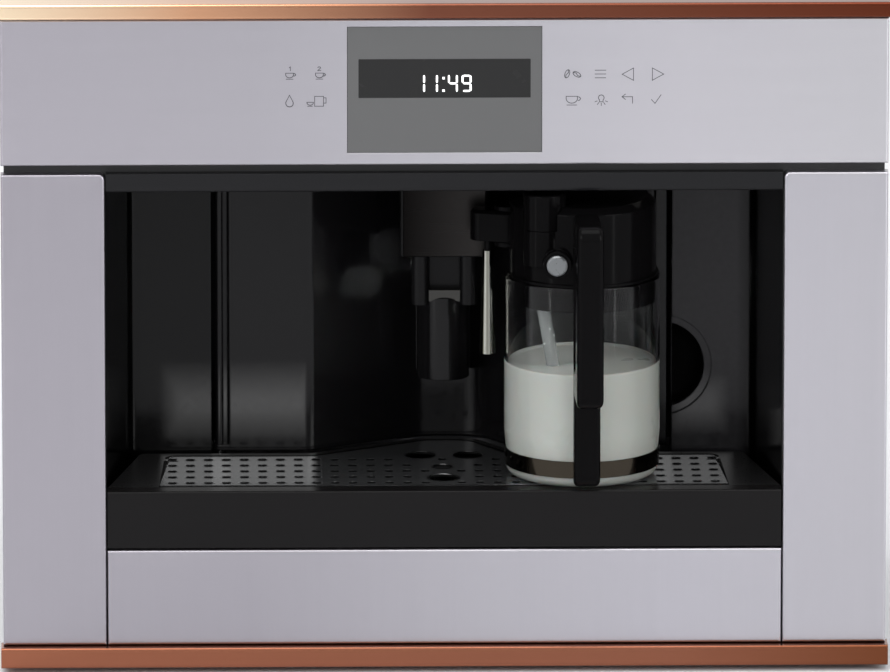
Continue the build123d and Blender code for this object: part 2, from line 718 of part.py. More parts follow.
def lower_panel():
    """The steel panel under the drip tray."""
    half = NICHE_HALF - SEAM
    return folded_pan((-half, half), (BOTTOM_TRIM_HEIGHT + SEAM / 2, LOWER_PANEL_TOP))


def trim(z_front, z_leg, projection):
    """A copper-coloured edge trim: a bar across the front with a leg along the frame."""
    low, high = z_front
    outline = [(-projection, low), (PAN_DEPTH, low), (PAN_DEPTH, high), (-projection, high)]
    half = TRIM_WIDTH / 2
    bar = side_prism(outline, (-half, half))
    front = [(0, FACE_Y - projection, low), (0, FACE_Y - projection, high)]
    bar = fillet(nearest_edges(bar, Axis.X, front), TRIM_ROUNDING)
    return bar + block((-half, half), (PAN_DEPTH, FRONT_DEPTH), z_leg)


def front_frame():
    """The moulded frame: niche opening, display opening, pockets and bosses for the touch boards."""
    half = PANEL_HALF - FRAME_MARGIN
    frame = block((-half, half), (PAN_DEPTH, FRONT_DEPTH), (TRIM_LEG, OVERALL_HEIGHT - TRIM_LEG))
    through = (PAN_DEPTH - 1, FRONT_DEPTH + 1)
    frame -= block((-NICHE_HALF, NICHE_HALF), through, (BAY_FLOOR, CEILING))
    module_z = around(WINDOW_BOTTOM + WINDOW_HEIGHT / 2, MODULE_HEIGHT + SEAM)
    frame -= block(around(0, MODULE_WIDTH + SEAM), through, module_z)
    pocket_x = (NICHE_HALF + 2 * FRAME_RIB, half - FRAME_RIB)
    rise = (COLUMN_TOP - BAY_FLOOR) / FRAME_POCKETS
    for side in (-1, 1):
        for index in range(FRAME_POCKETS):
            low = BAY_FLOOR + index * rise + FRAME_RIB
            limits = sorted((side * pocket_x[0], side * pocket_x[1]))
            depth = (PAN_DEPTH - 1, PAN_DEPTH + FRAME_POCKET_DEPTH)
            frame -= block(limits, depth, (low, low + rise - FRAME_RIB))
    for x, z in board_corners():
        boss = (PANEL_SKIN + BOARD_THICKNESS, PAN_DEPTH)
        frame += round_along_depth(x, boss, z, BOARD_BOSS_RADIUS)
    return frame


def board_corners():
    """The places of the bosses under the corners of the touch boards."""
    places = []
    for left, right in BOARD_SPANS:
        for x in (left + BOARD_BOSS_INSET, right - BOARD_BOSS_INSET):
            for side in (-1, 1):
                places.append((x, BOARD_CENTRE_Z + side * (BOARD_HEIGHT / 2 - BOARD_BOSS_INSET)))
    return places


def touch_boards():
    """The two boards behind the touch symbols."""
    depth = (PANEL_SKIN, PANEL_SKIN + BOARD_THICKNESS)
    return [block(span, depth, around(BOARD_CENTRE_Z, BOARD_HEIGHT)) for span in BOARD_SPANS]


def display_window():
    """The grey glass, flush in its cut-out."""
    z = (WINDOW_BOTTOM + WINDOW_CLEARANCE, WINDOW_BOTTOM + WINDOW_HEIGHT - WINDOW_CLEARANCE)
    depth = (WINDOW_SETBACK, WINDOW_SETBACK + WINDOW_THICKNESS)
    return block(around(0, WINDOW_WIDTH - 2 * WINDOW_CLEARANCE), depth, z)


def display_module():
    """The display in its holder, which carries the glass and rests on the frame."""
    front = WINDOW_SETBACK + WINDOW_THICKNESS
    centre_z = WINDOW_BOTTOM + WINDOW_HEIGHT / 2
    flange_x = around(0, MODULE_WIDTH + 2 * MODULE_FLANGE)
    module = block(flange_x, (front, PAN_DEPTH), around(centre_z, MODULE_HEIGHT + 2 * MODULE_FLANGE))
    module += block(around(0, MODULE_WIDTH), (PAN_DEPTH, MODULE_DEPTH), around(centre_z, MODULE_HEIGHT))
    display_z = (DISPLAY_BOTTOM, DISPLAY_BOTTOM + DISPLAY_HEIGHT)
    return module - block(around(0, DISPLAY_WIDTH), (front - 1, front + DISPLAY_RECESS), display_z)


def lip_strip():
    """The dark strip over the niche, rolled under at its lower edge."""
    half = NICHE_HALF - SEAM
    strip = block((-half, half), (LIP_SETBACK, PAN_DEPTH), (LIP_BOTTOM, COLUMN_TOP))
    lower_edge = nearest_edges(strip, Axis.X, [(0, FACE_Y + LIP_SETBACK, LIP_BOTTOM)])
    return fillet(lower_edge, LIP_ROUNDING)


# ---- Niche
def niche_half(depth):
    """Half the width of the niche between its drafted walls, at a depth."""
    share = (depth - FRONT_DEPTH) / (DOOR_FACE - FRONT_DEPTH)
    return NICHE_HALF + (NICHE_REAR_HALF - NICHE_HALF) * share


def niche_plan(wall):
    """The niche in plan, grown by a wall."""
    rear = DOOR_FACE + wall
    corner = NICHE_CORNER + wall
    front_half = niche_half(FRONT_DEPTH) + wall
    rear_half = niche_half(DOOR_FACE) + wall
    front = FRONT_DEPTH - (0 if wall else 1)
    return plan_face([
        (-front_half, front, 0),
        (-rear_half, rear, corner),
        (rear_half, rear, corner),
        (front_half, front, 0),
    ])


def scoop(radius_change, depth, z_grow):
    """The half-moon beside the doorway, as a round cut off by the jamb."""
    half = SCOOP_HEIGHT / 2
    radius = (half ** 2 + SCOOP_REACH ** 2) / (2 * SCOOP_REACH)
    centre_x = DOORWAY_HALF + SCOOP_REACH - radius
    moon = round_along_depth(centre_x, depth, SCOOP_CENTRE_Z, radius + radius_change)
    keep = block((DOORWAY_HALF - z_grow, DOORWAY_HALF + 2 * SCOOP_REACH), depth,
                 around(SCOOP_CENTRE_Z, 3 * SCOOP_HEIGHT))
    return moon & keep


def niche_liner():
    """The black lining: drafted walls, ceiling, floor under the tray, jambs and finger scoop."""
    outer_z = (BAY_FLOOR - LINER_WALL, CEILING + LINER_WALL)
    inner_z = (BAY_FLOOR, CEILING)
    liner = plan_prism(niche_plan(LINER_WALL), outer_z)
    flange = NICHE_HALF + LINER_WALL + LINER_FLANGE
    flange_z = (outer_z[0] - LINER_FLANGE, outer_z[1] + LINER_FLANGE)
    liner += block((-flange, flange), (FRONT_DEPTH, FRONT_DEPTH + LINER_WALL), flange_z)
    jamb = DOORWAY_HALF + LINER_WALL
    liner += block((-jamb, jamb), (DOOR_FACE, DOOR_FACE + JAMB_DEPTH), outer_z)
    pocket = (DOOR_FACE, DOOR_FACE + SCOOP_DEPTH + LINER_WALL)
    liner += scoop(LINER_WALL, pocket, 0)
    liner -= plan_prism(niche_plan(0), inner_z)
    doorway = (DOOR_FACE - 1, DOOR_FACE + JAMB_DEPTH + 1)
    liner -= block((-DOORWAY_HALF, DOORWAY_HALF), doorway, (BAY_FLOOR, DOORWAY_TOP))
    liner -= scoop(-SCOOP_BEVEL, (DOOR_FACE - 1, DOOR_FACE + SCOOP_DEPTH), LINER_WALL)
    liner -= scoop(0, (DOOR_FACE - 1, DOOR_FACE + LINER_WALL), LINER_WALL)
    for x in (-LAMP_X, LAMP_X):
        liner -= post(x, LAMP_DEPTH, (CEILING - 1, outer_z[1] + 1), LAMP_RADIUS)
    lug_reach = HINGE_X + HINGE_PIN_RADIUS + HINGE_EYE_WALL
    lug_depth = (DOOR_FACE, DOOR_FACE + JAMB_DEPTH)
    liner += block((-DOORWAY_HALF, lug_reach), lug_depth, lug_heights())
    for pin in hinge_pins():
        liner -= pin
    return liner


def lug_heights():
    """The heights of the lug that carries the lower hinge pin."""
    top = TRAY_TOP - TRAY_FLANGE - SEAM
    return top - HINGE_LUG_HEIGHT, top


def hinge_pins():
    """The upper and lower pins of the service door."""
    upper = (DOOR_TOP - HINGE_EYE_HEIGHT, CEILING)
    lower = (lug_heights()[0], DOOR_BOTTOM + HINGE_EYE_HEIGHT)
    return [post(HINGE_X, HINGE_DEPTH, z, HINGE_PIN_RADIUS) for z in (upper, lower)]


def niche_lamps():
    """Two round lenses in the ceiling, each with a flange on top of the liner."""
    lamps = []
    for x in (-LAMP_X, LAMP_X):
        lens = post(x, LAMP_DEPTH, (CEILING, CEILING + LINER_WALL), LAMP_RADIUS)
        rim = (CEILING + LINER_WALL, CEILING + LAMP_THICKNESS)
        lamps.append(lens + post(x, LAMP_DEPTH, rim, LAMP_RADIUS + LINER_WALL))
    return lamps


# ---- Service door
def trough_line(gap):
    """The corners of the trough, moved a gap towards the front, from left to right."""
    drop = TROUGH_FLOOR - DOOR_FACE
    left_angle = atan2(drop, TROUGH_LEFT_END - TROUGH_LEFT_START)
    right_angle = atan2(drop, TROUGH_RIGHT_START - TROUGH_RIGHT_END)
    left = gap * tan(left_angle / 2)
    right = gap * tan(right_angle / 2)
    edge = max(TROUGH_EDGE_RADIUS + gap, 1.0)
    floor = max(TROUGH_FLOOR_RADIUS - gap, 1.0)
    return [
        (TROUGH_LEFT_START + left, DOOR_FACE - gap, edge),
        (TROUGH_LEFT_END + left, TROUGH_FLOOR - gap, floor),
        (TROUGH_RIGHT_END - right, TROUGH_FLOOR - gap, floor),
        (TROUGH_RIGHT_START - right, DOOR_FACE - gap, edge),
    ]


def door_plan(front_gap, rear_gap, half, rounding):
    """A band in plan that follows the door's face between two distances behind it."""
    return plan_face(
        [(-half, DOOR_FACE - front_gap, rounding)]
        + trough_line(front_gap)
        + [(half, DOOR_FACE - front_gap, rounding), (half, DOOR_FACE - rear_gap, 0)]
        + trough_line(rear_gap)[::-1]
        + [(-half, DOOR_FACE - rear_gap, 0)]
    )


def service_door():
    """The moulded door: a skin that follows the trough, returns, hinge eyes and the outlet's guide."""
    z = (DOOR_BOTTOM, DOOR_TOP)
    door = plan_prism(door_plan(0, -DOOR_THICKNESS, DOOR_HALF, DOOR_EDGE_RADIUS), z)
    hollow = door_plan(-DOOR_SKIN, -DOOR_THICKNESS - 1, DOOR_HALF - DOOR_SKIN, 0)
    door -= plan_prism(hollow, (z[0] + DOOR_SKIN, z[1] - DOOR_SKIN))
    eye_radius = HINGE_PIN_RADIUS + HINGE_EYE_WALL
    rear = DOOR_FACE + DOOR_THICKNESS
    door += post(HINGE_X, HINGE_DEPTH, z, BARREL_RADIUS)
    door += block((HINGE_X, -DOOR_HALF + DOOR_SKIN), around(HINGE_DEPTH, DOOR_SKIN), z)
    door += block((DOOR_HALF - DOOR_SKIN, DOOR_HALF + CLOSING_STRIP), (rear - DOOR_SKIN, rear), z)
    for low in (DOOR_BOTTOM, DOOR_TOP - HINGE_EYE_HEIGHT):
        heights = (low, low + HINGE_EYE_HEIGHT)
        door += post(HINGE_X, HINGE_DEPTH, heights, eye_radius)
        door += block((HINGE_X, -DOOR_HALF + DOOR_SKIN), around(HINGE_DEPTH, 2 * eye_radius), heights)
        door -= post(HINGE_X, HINGE_DEPTH, (low - 1, low + HINGE_EYE_HEIGHT + 1),
                     HINGE_PIN_RADIUS + RUNNING_FIT)
    wall = TROUGH_FLOOR + DOOR_SKIN / 2
    guide_x = around(OUTLET_X, 2 * GUIDE_HALF)
    column_top = CARRIAGE_BOTTOM - OUTLET_TRAVEL - SEAM
    door += block(guide_x, (TROUGH_FLOOR - GUIDE_DEPTH, wall), (column_top, DOOR_TOP))
    centre = COLUMN_FRONT + COLUMN_RADIUS
    column_z = (DOOR_BOTTOM + COLUMN_RISE, column_top)
    door += post(OUTLET_X, centre, column_z, COLUMN_RADIUS)
    return door + block(around(OUTLET_X, 2 * COLUMN_RADIUS), (centre, wall), column_z)


def steam_nozzle():
    """The steam outlet on the door, on which the jug's connector slides."""
    z = JUG_RIM + CONNECTOR_RISE
    flange = (DOOR_FACE - NOZZLE_FLANGE, DOOR_FACE)
    nozzle = round_along_depth(CONNECTOR_X, (DOOR_FACE - NOZZLE_REACH, DOOR_FACE), z, NOZZLE_TIP_RADIUS)
    return nozzle + round_along_depth(CONNECTOR_X, flange, z, NOZZLE_FLANGE_RADIUS)


# ---- Coffee outlet
def spout_carriage():
    """The outlet's body: a box that rides on the door's guide, with two nozzles below it."""
    top = CARRIAGE_BOTTOM + CARRIAGE_HEIGHT
    body = block(around(OUTLET_X, CARRIAGE_WIDTH), (CARRIAGE_FRONT, CARRIAGE_REAR), (CARRIAGE_BOTTOM, top))
    body = fillet(body.edges().filter_by(Axis.Z), CARRIAGE_EDGE)
    tongue_rear = TROUGH_FLOOR - SEAM
    body += block(around(OUTLET_X, 2 * TONGUE_HALF), (CARRIAGE_REAR, tongue_rear), (CARRIAGE_BOTTOM, top))
    slot_front = TROUGH_FLOOR - GUIDE_DEPTH - SLIDING_PLAY
    slot_x = around(OUTLET_X, 2 * (GUIDE_HALF + SLIDING_PLAY))
    body -= block(slot_x, (slot_front, TROUGH_FLOOR), (CARRIAGE_BOTTOM - 1, top + 1))
    low = CARRIAGE_BOTTOM - NOZZLE_DROP
    front = CARRIAGE_FRONT
    for side in (-1, 1):
        centre = OUTLET_X + side * (NOZZLE_BLOCK_WIDTH - NOZZLE_WIDTH) / 2
        nozzle = block(around(centre, NOZZLE_WIDTH), (front, front + NOZZLE_DEPTH), (low, CARRIAGE_BOTTOM))
        nozzle = fillet(nozzle.edges().filter_by(Axis.Z), NOZZLE_ROUNDING)
        bore = (low - 1, low + NOZZLE_BORE_DEPTH)
        body += nozzle
        body -= post(centre, front + NOZZLE_DEPTH / 2, bore, NOZZLE_BORE_RADIUS)
    back = (front + NOZZLE_DEPTH - NOZZLE_BACK, front + NOZZLE_DEPTH - 1)
    inner = NOZZLE_BLOCK_WIDTH - 2 * NOZZLE_WIDTH + 1
    body += block(around(OUTLET_X, inner), back, (low + BRIDGE_RAISE, CARRIAGE_BOTTOM))
    return body - spout_bridge()


def spout_bridge():
    """The bright bridge between the nozzles, arched underneath."""
    low = CARRIAGE_BOTTOM - NOZZLE_DROP + BRIDGE_RAISE
    width = NOZZLE_BLOCK_WIDTH - 2 * NOZZLE_WIDTH + 2 * SLIDING_PLAY
    depth = (CARRIAGE_FRONT + 1, CARRIAGE_FRONT + 1 + BRIDGE_DEPTH)
    bridge = block(around(OUTLET_X, width), depth, (low, low + BRIDGE_HEIGHT))
    arch_z = low + BRIDGE_ARCH_RISE - BRIDGE_ARCH_RADIUS
    return bridge - round_along_depth(OUTLET_X, (depth[0] - 1, depth[1] + 1), arch_z, BRIDGE_ARCH_RADIUS)


def dispenser_plate():
    """The satin plate on the front of the outlet."""
    depth = (CARRIAGE_FRONT - PLATE_THICKNESS, CARRIAGE_FRONT)
    z = (CARRIAGE_BOTTOM, CARRIAGE_BOTTOM + CARRIAGE_HEIGHT)
    plate = block(around(OUTLET_X, PLATE_WIDTH), depth, z)
    return chamfer(plate.faces().sort_by(Axis.Y)[0].edges(), PLATE_EDGE)


# ---- Milk jug
def on_jug(solid):
    """A piece made about the jug's axis, moved to where the jug stands."""
    return Pos(JUG_X, FACE_Y + JUG_DEPTH, 0) * solid


def jug_outline(inset, base, top):
    """The jug's outline from its axis to a height, inset by a wall, with a foot bevelled in two steps."""
    foot = JUG_FOOT_RADIUS - inset
    side = JUG_RADIUS - inset
    corner = max(JUG_CORNER - inset / 2, 1.0)
    bend = corner * (1 - cos(pi / 4))
    return Polyline(
        (0, base),
        (foot - corner, base),
        (foot - bend, base + bend),
        (foot, base + corner),
        (foot, JUG_BOTTOM + BAND_BOTTOM + BAND_HEIGHT),
        (side, JUG_BOTTOM + JUG_SHOULDER_HEIGHT),
        (side, top),
        (0, top),
        close=True,
    )


def jug_body(inset, base, top):
    """The solid inside the jug's outline."""
    return on_jug(turned(jug_outline(inset, base, top)))


def jug_glass():
    """The glass, turned, with its thick foot."""
    return jug_body(0, JUG_BOTTOM, JUG_RIM) - jug_body(JUG_WALL, JUG_BOTTOM + JUG_BASE, JUG_RIM + 1)


def jug_ring(inner, outer, z):
    """A ring about the jug's axis."""
    ring = post(JUG_X, JUG_DEPTH, z, outer)
    return ring - post(JUG_X, JUG_DEPTH, (z[0] - 1, z[1] + 1), inner)


def jug_band():
    """The steel band round the foot of the glass."""
    low = JUG_BOTTOM + BAND_BOTTOM
    return jug_ring(JUG_FOOT_RADIUS, JUG_FOOT_RADIUS + BAND_THICKNESS, (low, low + BAND_HEIGHT))


def intake_line():
    """The top and the bottom of the intake tube's axis, and the direction between them."""
    top = Vector(STRAW_TOP_X, FACE_Y + STRAW_DEPTH, JUG_RIM - LID_SKIRT)
    bottom = Vector(STRAW_BOTTOM_X, FACE_Y + JUG_DEPTH, JUG_BOTTOM + STRAW_BOTTOM_RISE)
    return top, bottom


def intake_round(radius):
    """A round along the intake tube's axis."""
    top, bottom = intake_line()
    along = top - bottom
    middle = Plane(origin=(top + bottom) * 0.5, z_dir=along)
    return middle * Cylinder(radius, along.length)


def milk_intake_tube():
    """The slanting tube that draws the milk, butted against the lid's skirt."""
    tube = intake_round(STRAW_RADIUS) - intake_round(STRAW_BORE_RADIUS)
    above = block((0, 2 * JUG_X), (0, 2 * JUG_DEPTH), (JUG_RIM - LID_SKIRT, JUG_RIM))
    return tube - above


def milk_fill():
    """The milk in the glass, round the intake tube."""
    milk = jug_body(JUG_WALL, JUG_BOTTOM + JUG_BASE, JUG_BOTTOM + MILK_HEIGHT)
    return milk - intake_round(STRAW_RADIUS)


def jug_handle():
    """The handle: a strap on the glass, an open grip in front of it and two arms between them."""
    strap = -JUG_RADIUS - STRAP_THICKNESS + 1
    low = JUG_BOTTOM + HANDLE_FOOT
    grip_low = JUG_BOTTOM + GRIP_BOTTOM
    high = JUG_BOTTOM + HANDLE_TOP
    outline = [
        (0, low), (strap, low), (strap, grip_low), (-HANDLE_REACH, grip_low),
        (-HANDLE_REACH, high), (0, high),
    ]
    plane = Plane(origin=(-HANDLE_WIDTH / 2, 0, 0), x_dir=(0, 1, 0), z_dir=(1, 0, 0))
    handle = extrude(plane * make_face(Polyline(*outline, close=True)), HANDLE_WIDTH)
    outer = [(0, -HANDLE_REACH, grip_low), (0, -HANDLE_REACH, high), (0, strap, low)]
    handle = fillet(nearest_edges(handle, Axis.X, outer), GRIP_ROUNDING)
    sides = [edge for edge in handle.edges() if abs(edge.center().X) > HANDLE_WIDTH / 2 - 0.01]
    sides = [edge for edge in sides if edge.center().Y < strap / 2]
    handle = fillet(sides, HANDLE_EDGE)
    gap_front = -HANDLE_REACH + GRIP_THICKNESS
    gap_low = grip_low + HANDLE_ARM
    gap_high = high - HANDLE_ARM
    gap = Pos(0, (gap_front - JUG_RADIUS) / 2, (gap_low + gap_high) / 2)
    gap *= Box(2 * HANDLE_WIDTH, -JUG_RADIUS - gap_front, gap_high - gap_low)
    handle -= fillet(gap.edges().filter_by(Axis.X), GRIP_ROUNDING)
    handle = on_jug(Rot(Z=HANDLE_ANGLE) * handle)
    handle -= jug_body(0, JUG_BOTTOM - 1, JUG_RIM + LID_BEAD_HEIGHT)
    handle -= jug_band()
    handle -= jug_ring(0, JUG_RADIUS, (JUG_BOTTOM, JUG_RIM + LID_BEAD_HEIGHT + SEAM))
    handle -= post(JUG_X, JUG_DEPTH, (JUG_RIM, LID_TOP + LID_HEIGHT), LID_RADIUS)
    return handle


def jug_lid():
    """The lid: a cap on a skirt with the froth tower, the button's collar and the connector."""
    lid = post(JUG_X, JUG_DEPTH, (JUG_RIM - LID_SKIRT, LID_TOP), LID_RADIUS)
    lid = chamfer(lid.edges().sort_by(Axis.Z)[-1], LID_BEVEL)
    lid += post(JUG_X, JUG_DEPTH, (JUG_RIM, JUG_RIM + LID_BEAD_HEIGHT), LID_RADIUS + LID_BEAD)
    tower_top = JUG_RIM + TOWER_TOP
    knob_room = (tower_top, LID_TOP + LID_HEIGHT)
    lid += post(KNOB_X, KNOB_DEPTH, (JUG_RIM + TOWER_BOTTOM, tower_top), KNOB_RADIUS)
    lid -= post(KNOB_X, KNOB_DEPTH, knob_room, KNOB_RADIUS + SEAM)
    lid += post(KNOB_X, KNOB_DEPTH, (tower_top, tower_top + KNOB_STUD_HEIGHT), KNOB_STUD_RADIUS)
    button_z = JUG_RIM + BUTTON_RISE
    lid += round_along_depth(BUTTON_X, (BUTTON_COLLAR_DEPTH, KNOB_DEPTH), button_z, BUTTON_COLLAR_RADIUS)
    room = BUTTON_COLLAR_DEPTH - BUTTON_PROUD + BUTTON_LENGTH + BUTTON_TRAVEL + SEAM
    lid -= round_along_depth(BUTTON_X, (-BUTTON_PROUD, room), button_z, BUTTON_RADIUS + SLIDING_PLAY)
    connector_z = JUG_RIM + CONNECTOR_RISE
    connector_end = DOOR_FACE - CONNECTOR_GAP
    outside = CONNECTOR_BORE_RADIUS + CONNECTOR_WALL
    lid += round_along_depth(CONNECTOR_X, (JUG_DEPTH, connector_end), connector_z, outside)
    lid -= round_along_depth(CONNECTOR_X, (DOOR_FACE - NOZZLE_REACH - SEAM, connector_end + 1),
                             connector_z, CONNECTOR_BORE_RADIUS)
    arm_low = JUG_RIM + SPOUT_ARM_BOTTOM
    arm_high = arm_low + SPOUT_ARM_HEIGHT
    room_z = (arm_low - SPOUT_EAR_GAP, arm_high + SPOUT_EAR_GAP)
    for ear_z in ((room_z[0] - SPOUT_EAR, room_z[0]), (room_z[1], room_z[1] + SPOUT_EAR)):
        lid += post(SPOUT_PIVOT_X, SPOUT_PIVOT_DEPTH, ear_z, SPOUT_ARM_RADIUS)
    lid -= post(SPOUT_PIVOT_X, SPOUT_PIVOT_DEPTH, room_z, SPOUT_ARM_RADIUS + SEAM)
    lid += post(SPOUT_PIVOT_X, SPOUT_PIVOT_DEPTH, room_z, SPOUT_PIN_RADIUS)
    return lid


def froth_knob():
    """The froth knob on top of the lid's tower, with a pointer ridge."""
    low = JUG_RIM + TOWER_TOP + KNOB_GAP
    high = low + KNOB_HEIGHT
    knob = post(KNOB_X, KNOB_DEPTH, (low, high), KNOB_RADIUS)
    knob = chamfer(knob.edges().sort_by(Axis.Z)[-1], KNOB_BEVEL)
    stud_room = JUG_RIM + TOWER_TOP + KNOB_STUD_HEIGHT + KNOB_GAP
    return knob - post(KNOB_X, KNOB_DEPTH, (low - 1, stud_room), KNOB_STUD_RADIUS + RUNNING_FIT)


def clean_button():
    """The round button in its collar, bevelled at its front edge."""
    front = BUTTON_COLLAR_DEPTH - BUTTON_PROUD
    depth = (front, front + BUTTON_LENGTH)
    button = round_along_depth(BUTTON_X, depth, JUG_RIM + BUTTON_RISE, BUTTON_RADIUS)
    return chamfer(button.edges().sort_by(Axis.Y)[0], BUTTON_BEVEL)


def milk_spout_arm():
    """The arm that swivels on the lid's pin and carries the milk tube."""
    z = (JUG_RIM + SPOUT_ARM_BOTTOM, JUG_RIM + SPOUT_ARM_BOTTOM + SPOUT_ARM_HEIGHT)
    end_x = SPOUT_X - SPOUT_ARM_OVERHANG
    run = hypot(SPOUT_PIVOT_X - end_x, SPOUT_DEPTH - SPOUT_PIVOT_DEPTH)
    heading = atan2(SPOUT_DEPTH - SPOUT_PIVOT_DEPTH, end_x - SPOUT_PIVOT_X)
    bar = Pos(SPOUT_PIVOT_X, FACE_Y + SPOUT_PIVOT_DEPTH, (z[0] + z[1]) / 2) * Rot(Z=heading * 180 / pi)
    bar *= Pos(run / 2, 0, 0) * Box(run, 2 * SPOUT_ARM_RADIUS, SPOUT_ARM_HEIGHT)
    arm = bar + post(SPOUT_PIVOT_X, SPOUT_PIVOT_DEPTH, z, SPOUT_ARM_RADIUS)
    arm += post(end_x, SPOUT_DEPTH, z, SPOUT_ARM_RADIUS)
    arm = chamfer(arm.faces().sort_by(Axis.Z)[-1].edges(), SPOUT_ARM_BEVEL)
    arm += post(SPOUT_X, SPOUT_DEPTH, (z[0] - SPOUT_NECK_LENGTH, z[0]), SPOUT_NECK_RADIUS)
    eye = (z[0] - 1, z[1] + 1)
    return arm - post(SPOUT_PIVOT_X, SPOUT_PIVOT_DEPTH, eye, SPOUT_PIN_RADIUS + RUNNING_FIT)


def milk_spout_tube():
    """The bright milk tube, slightly flared, closed at its top round the neck."""
    top = JUG_RIM + SPOUT_ARM_BOTTOM - SPOUT_NECK_LENGTH
    low = top - SPOUT_TUBE_LENGTH
    tube = post(SPOUT_X, SPOUT_DEPTH, (low, top), SPOUT_TUBE_END_RADIUS, SPOUT_TUBE_TOP_RADIUS)
    return tube - post(SPOUT_X, SPOUT_DEPTH, (low - 1, top - SPOUT_TUBE_WALL), SPOUT_TUBE_BORE_RADIUS)


# ---- Drip tray
def tray_plan(gap, front, front_half, rear_half, corner):
    """The tray in plan: straight sides, and a rear edge a gap in front of the door's wall."""
    return plan_face(
        [(-front_half, front, 0), (-rear_half, DOOR_FACE - gap, corner)]
        + trough_line(gap)
        + [(rear_half, DOOR_FACE - gap, corner), (front_half, front, 0)]
    )


def grille_plan(grow):
    """The grille in plan, grown by a margin."""
    return tray_plan(GRILLE_WALL_GAP - grow, GRILLE_FRONT - grow, GRILLE_FRONT_HALF + grow,
                     GRILLE_REAR_HALF + grow, GRILLE_CORNER + grow)


def drip_tray():
    """The basin with the flange round the grille."""
    front = FASCIA_SETBACK + FASCIA_THICKNESS
    ledge = TRAY_TOP - GRILLE_THICKNESS
    rear_half = niche_half(DOOR_FACE) - TRAY_SIDE_GAP - NICHE_CORNER
    front_half = NICHE_HALF - TRAY_SIDE_GAP
    flange_plan = tray_plan(TRAY_REAR_GAP, front, front_half, rear_half, NICHE_CORNER)
    tray = plan_prism(flange_plan, (ledge - TRAY_FLANGE, TRAY_TOP))
    basin_z = (BAY_FLOOR + TRAY_CLEARANCE, ledge)
    tray += plan_prism(grille_plan(TRAY_WALL - GRILLE_LEDGE), basin_z)
    tray -= plan_prism(grille_plan(-GRILLE_LEDGE), (basin_z[0] + TRAY_WALL, TRAY_TOP + 1))
    return tray - plan_prism(grille_plan(GRILLE_CLEARANCE), (ledge, TRAY_TOP + 1))


def tray_fascia():
    """The black front of the drip tray."""
    half = NICHE_HALF - SEAM
    depth = (FASCIA_SETBACK, FASCIA_SETBACK + FASCIA_THICKNESS)
    fascia = block((-half, half), depth, (BAY_FLOOR + TRAY_CLEARANCE, TRAY_TOP))
    upper_edge = nearest_edges(fascia, Axis.X, [(0, FACE_Y + FASCIA_SETBACK, TRAY_TOP)])
    return fillet(upper_edge, FASCIA_ROUNDING)


def hole_places():
    """The places of the small holes, clear of the cup wells, the float and the rear edge."""
    wells = [(OUTLET_X - WELL_OFFSET, WELL_DEPTH), (OUTLET_X + WELL_OFFSET, WELL_DEPTH)]
    wells += [(0.0, FRONT_WELL_DEPTH), (0.0, FLOAT_DEPTH)]
    places = []
    for row in range(HOLE_ROWS):
        depth = HOLE_FIRST_DEPTH + row * HOLE_PITCH_DEPTH
        for column_index in range(-HOLE_COLUMNS, HOLE_COLUMNS + 1):
            x = column_index * HOLE_PITCH_X
            near = min(hypot(x - well_x, depth - well_depth) for well_x, well_depth in wells)
            if near > WELL_RADIUS + HOLE_CLEARANCE:
                places.append((x, depth))
    return places


def cup_grille():
    """The sheet-metal grille with its rows of holes, the cup wells and the float's hole."""
    low = TRAY_TOP - GRILLE_THICKNESS
    grille = plan_prism(grille_plan(0), (low, TRAY_TOP))
    cut_z = (low - 1, TRAY_TOP + 1)
    cuts = [block(around(x, HOLE_SIZE), around(depth, HOLE_SIZE), cut_z) for x, depth in hole_places()]
    for side in (-1, 1):
        cuts.append(post(OUTLET_X + side * WELL_OFFSET, WELL_DEPTH, cut_z, WELL_RADIUS))
    cuts.append(post(0, FRONT_WELL_DEPTH, cut_z, WELL_RADIUS))
    cuts.append(post(0, FLOAT_DEPTH, cut_z, FLOAT_HOLE_RADIUS))
    return grille - Compound(children=cuts)


def level_float():
    """The float: a stem in its hole over a wide disc in the basin."""
    top = TRAY_TOP - SEAM
    disc_top = top - FLOAT_HEIGHT
    stem = post(0, FLOAT_DEPTH, (disc_top, top), FLOAT_RADIUS)
    return stem + post(0, FLOAT_DEPTH, (disc_top - FLOAT_DISC, disc_top), FLOAT_DISC_RADIUS)


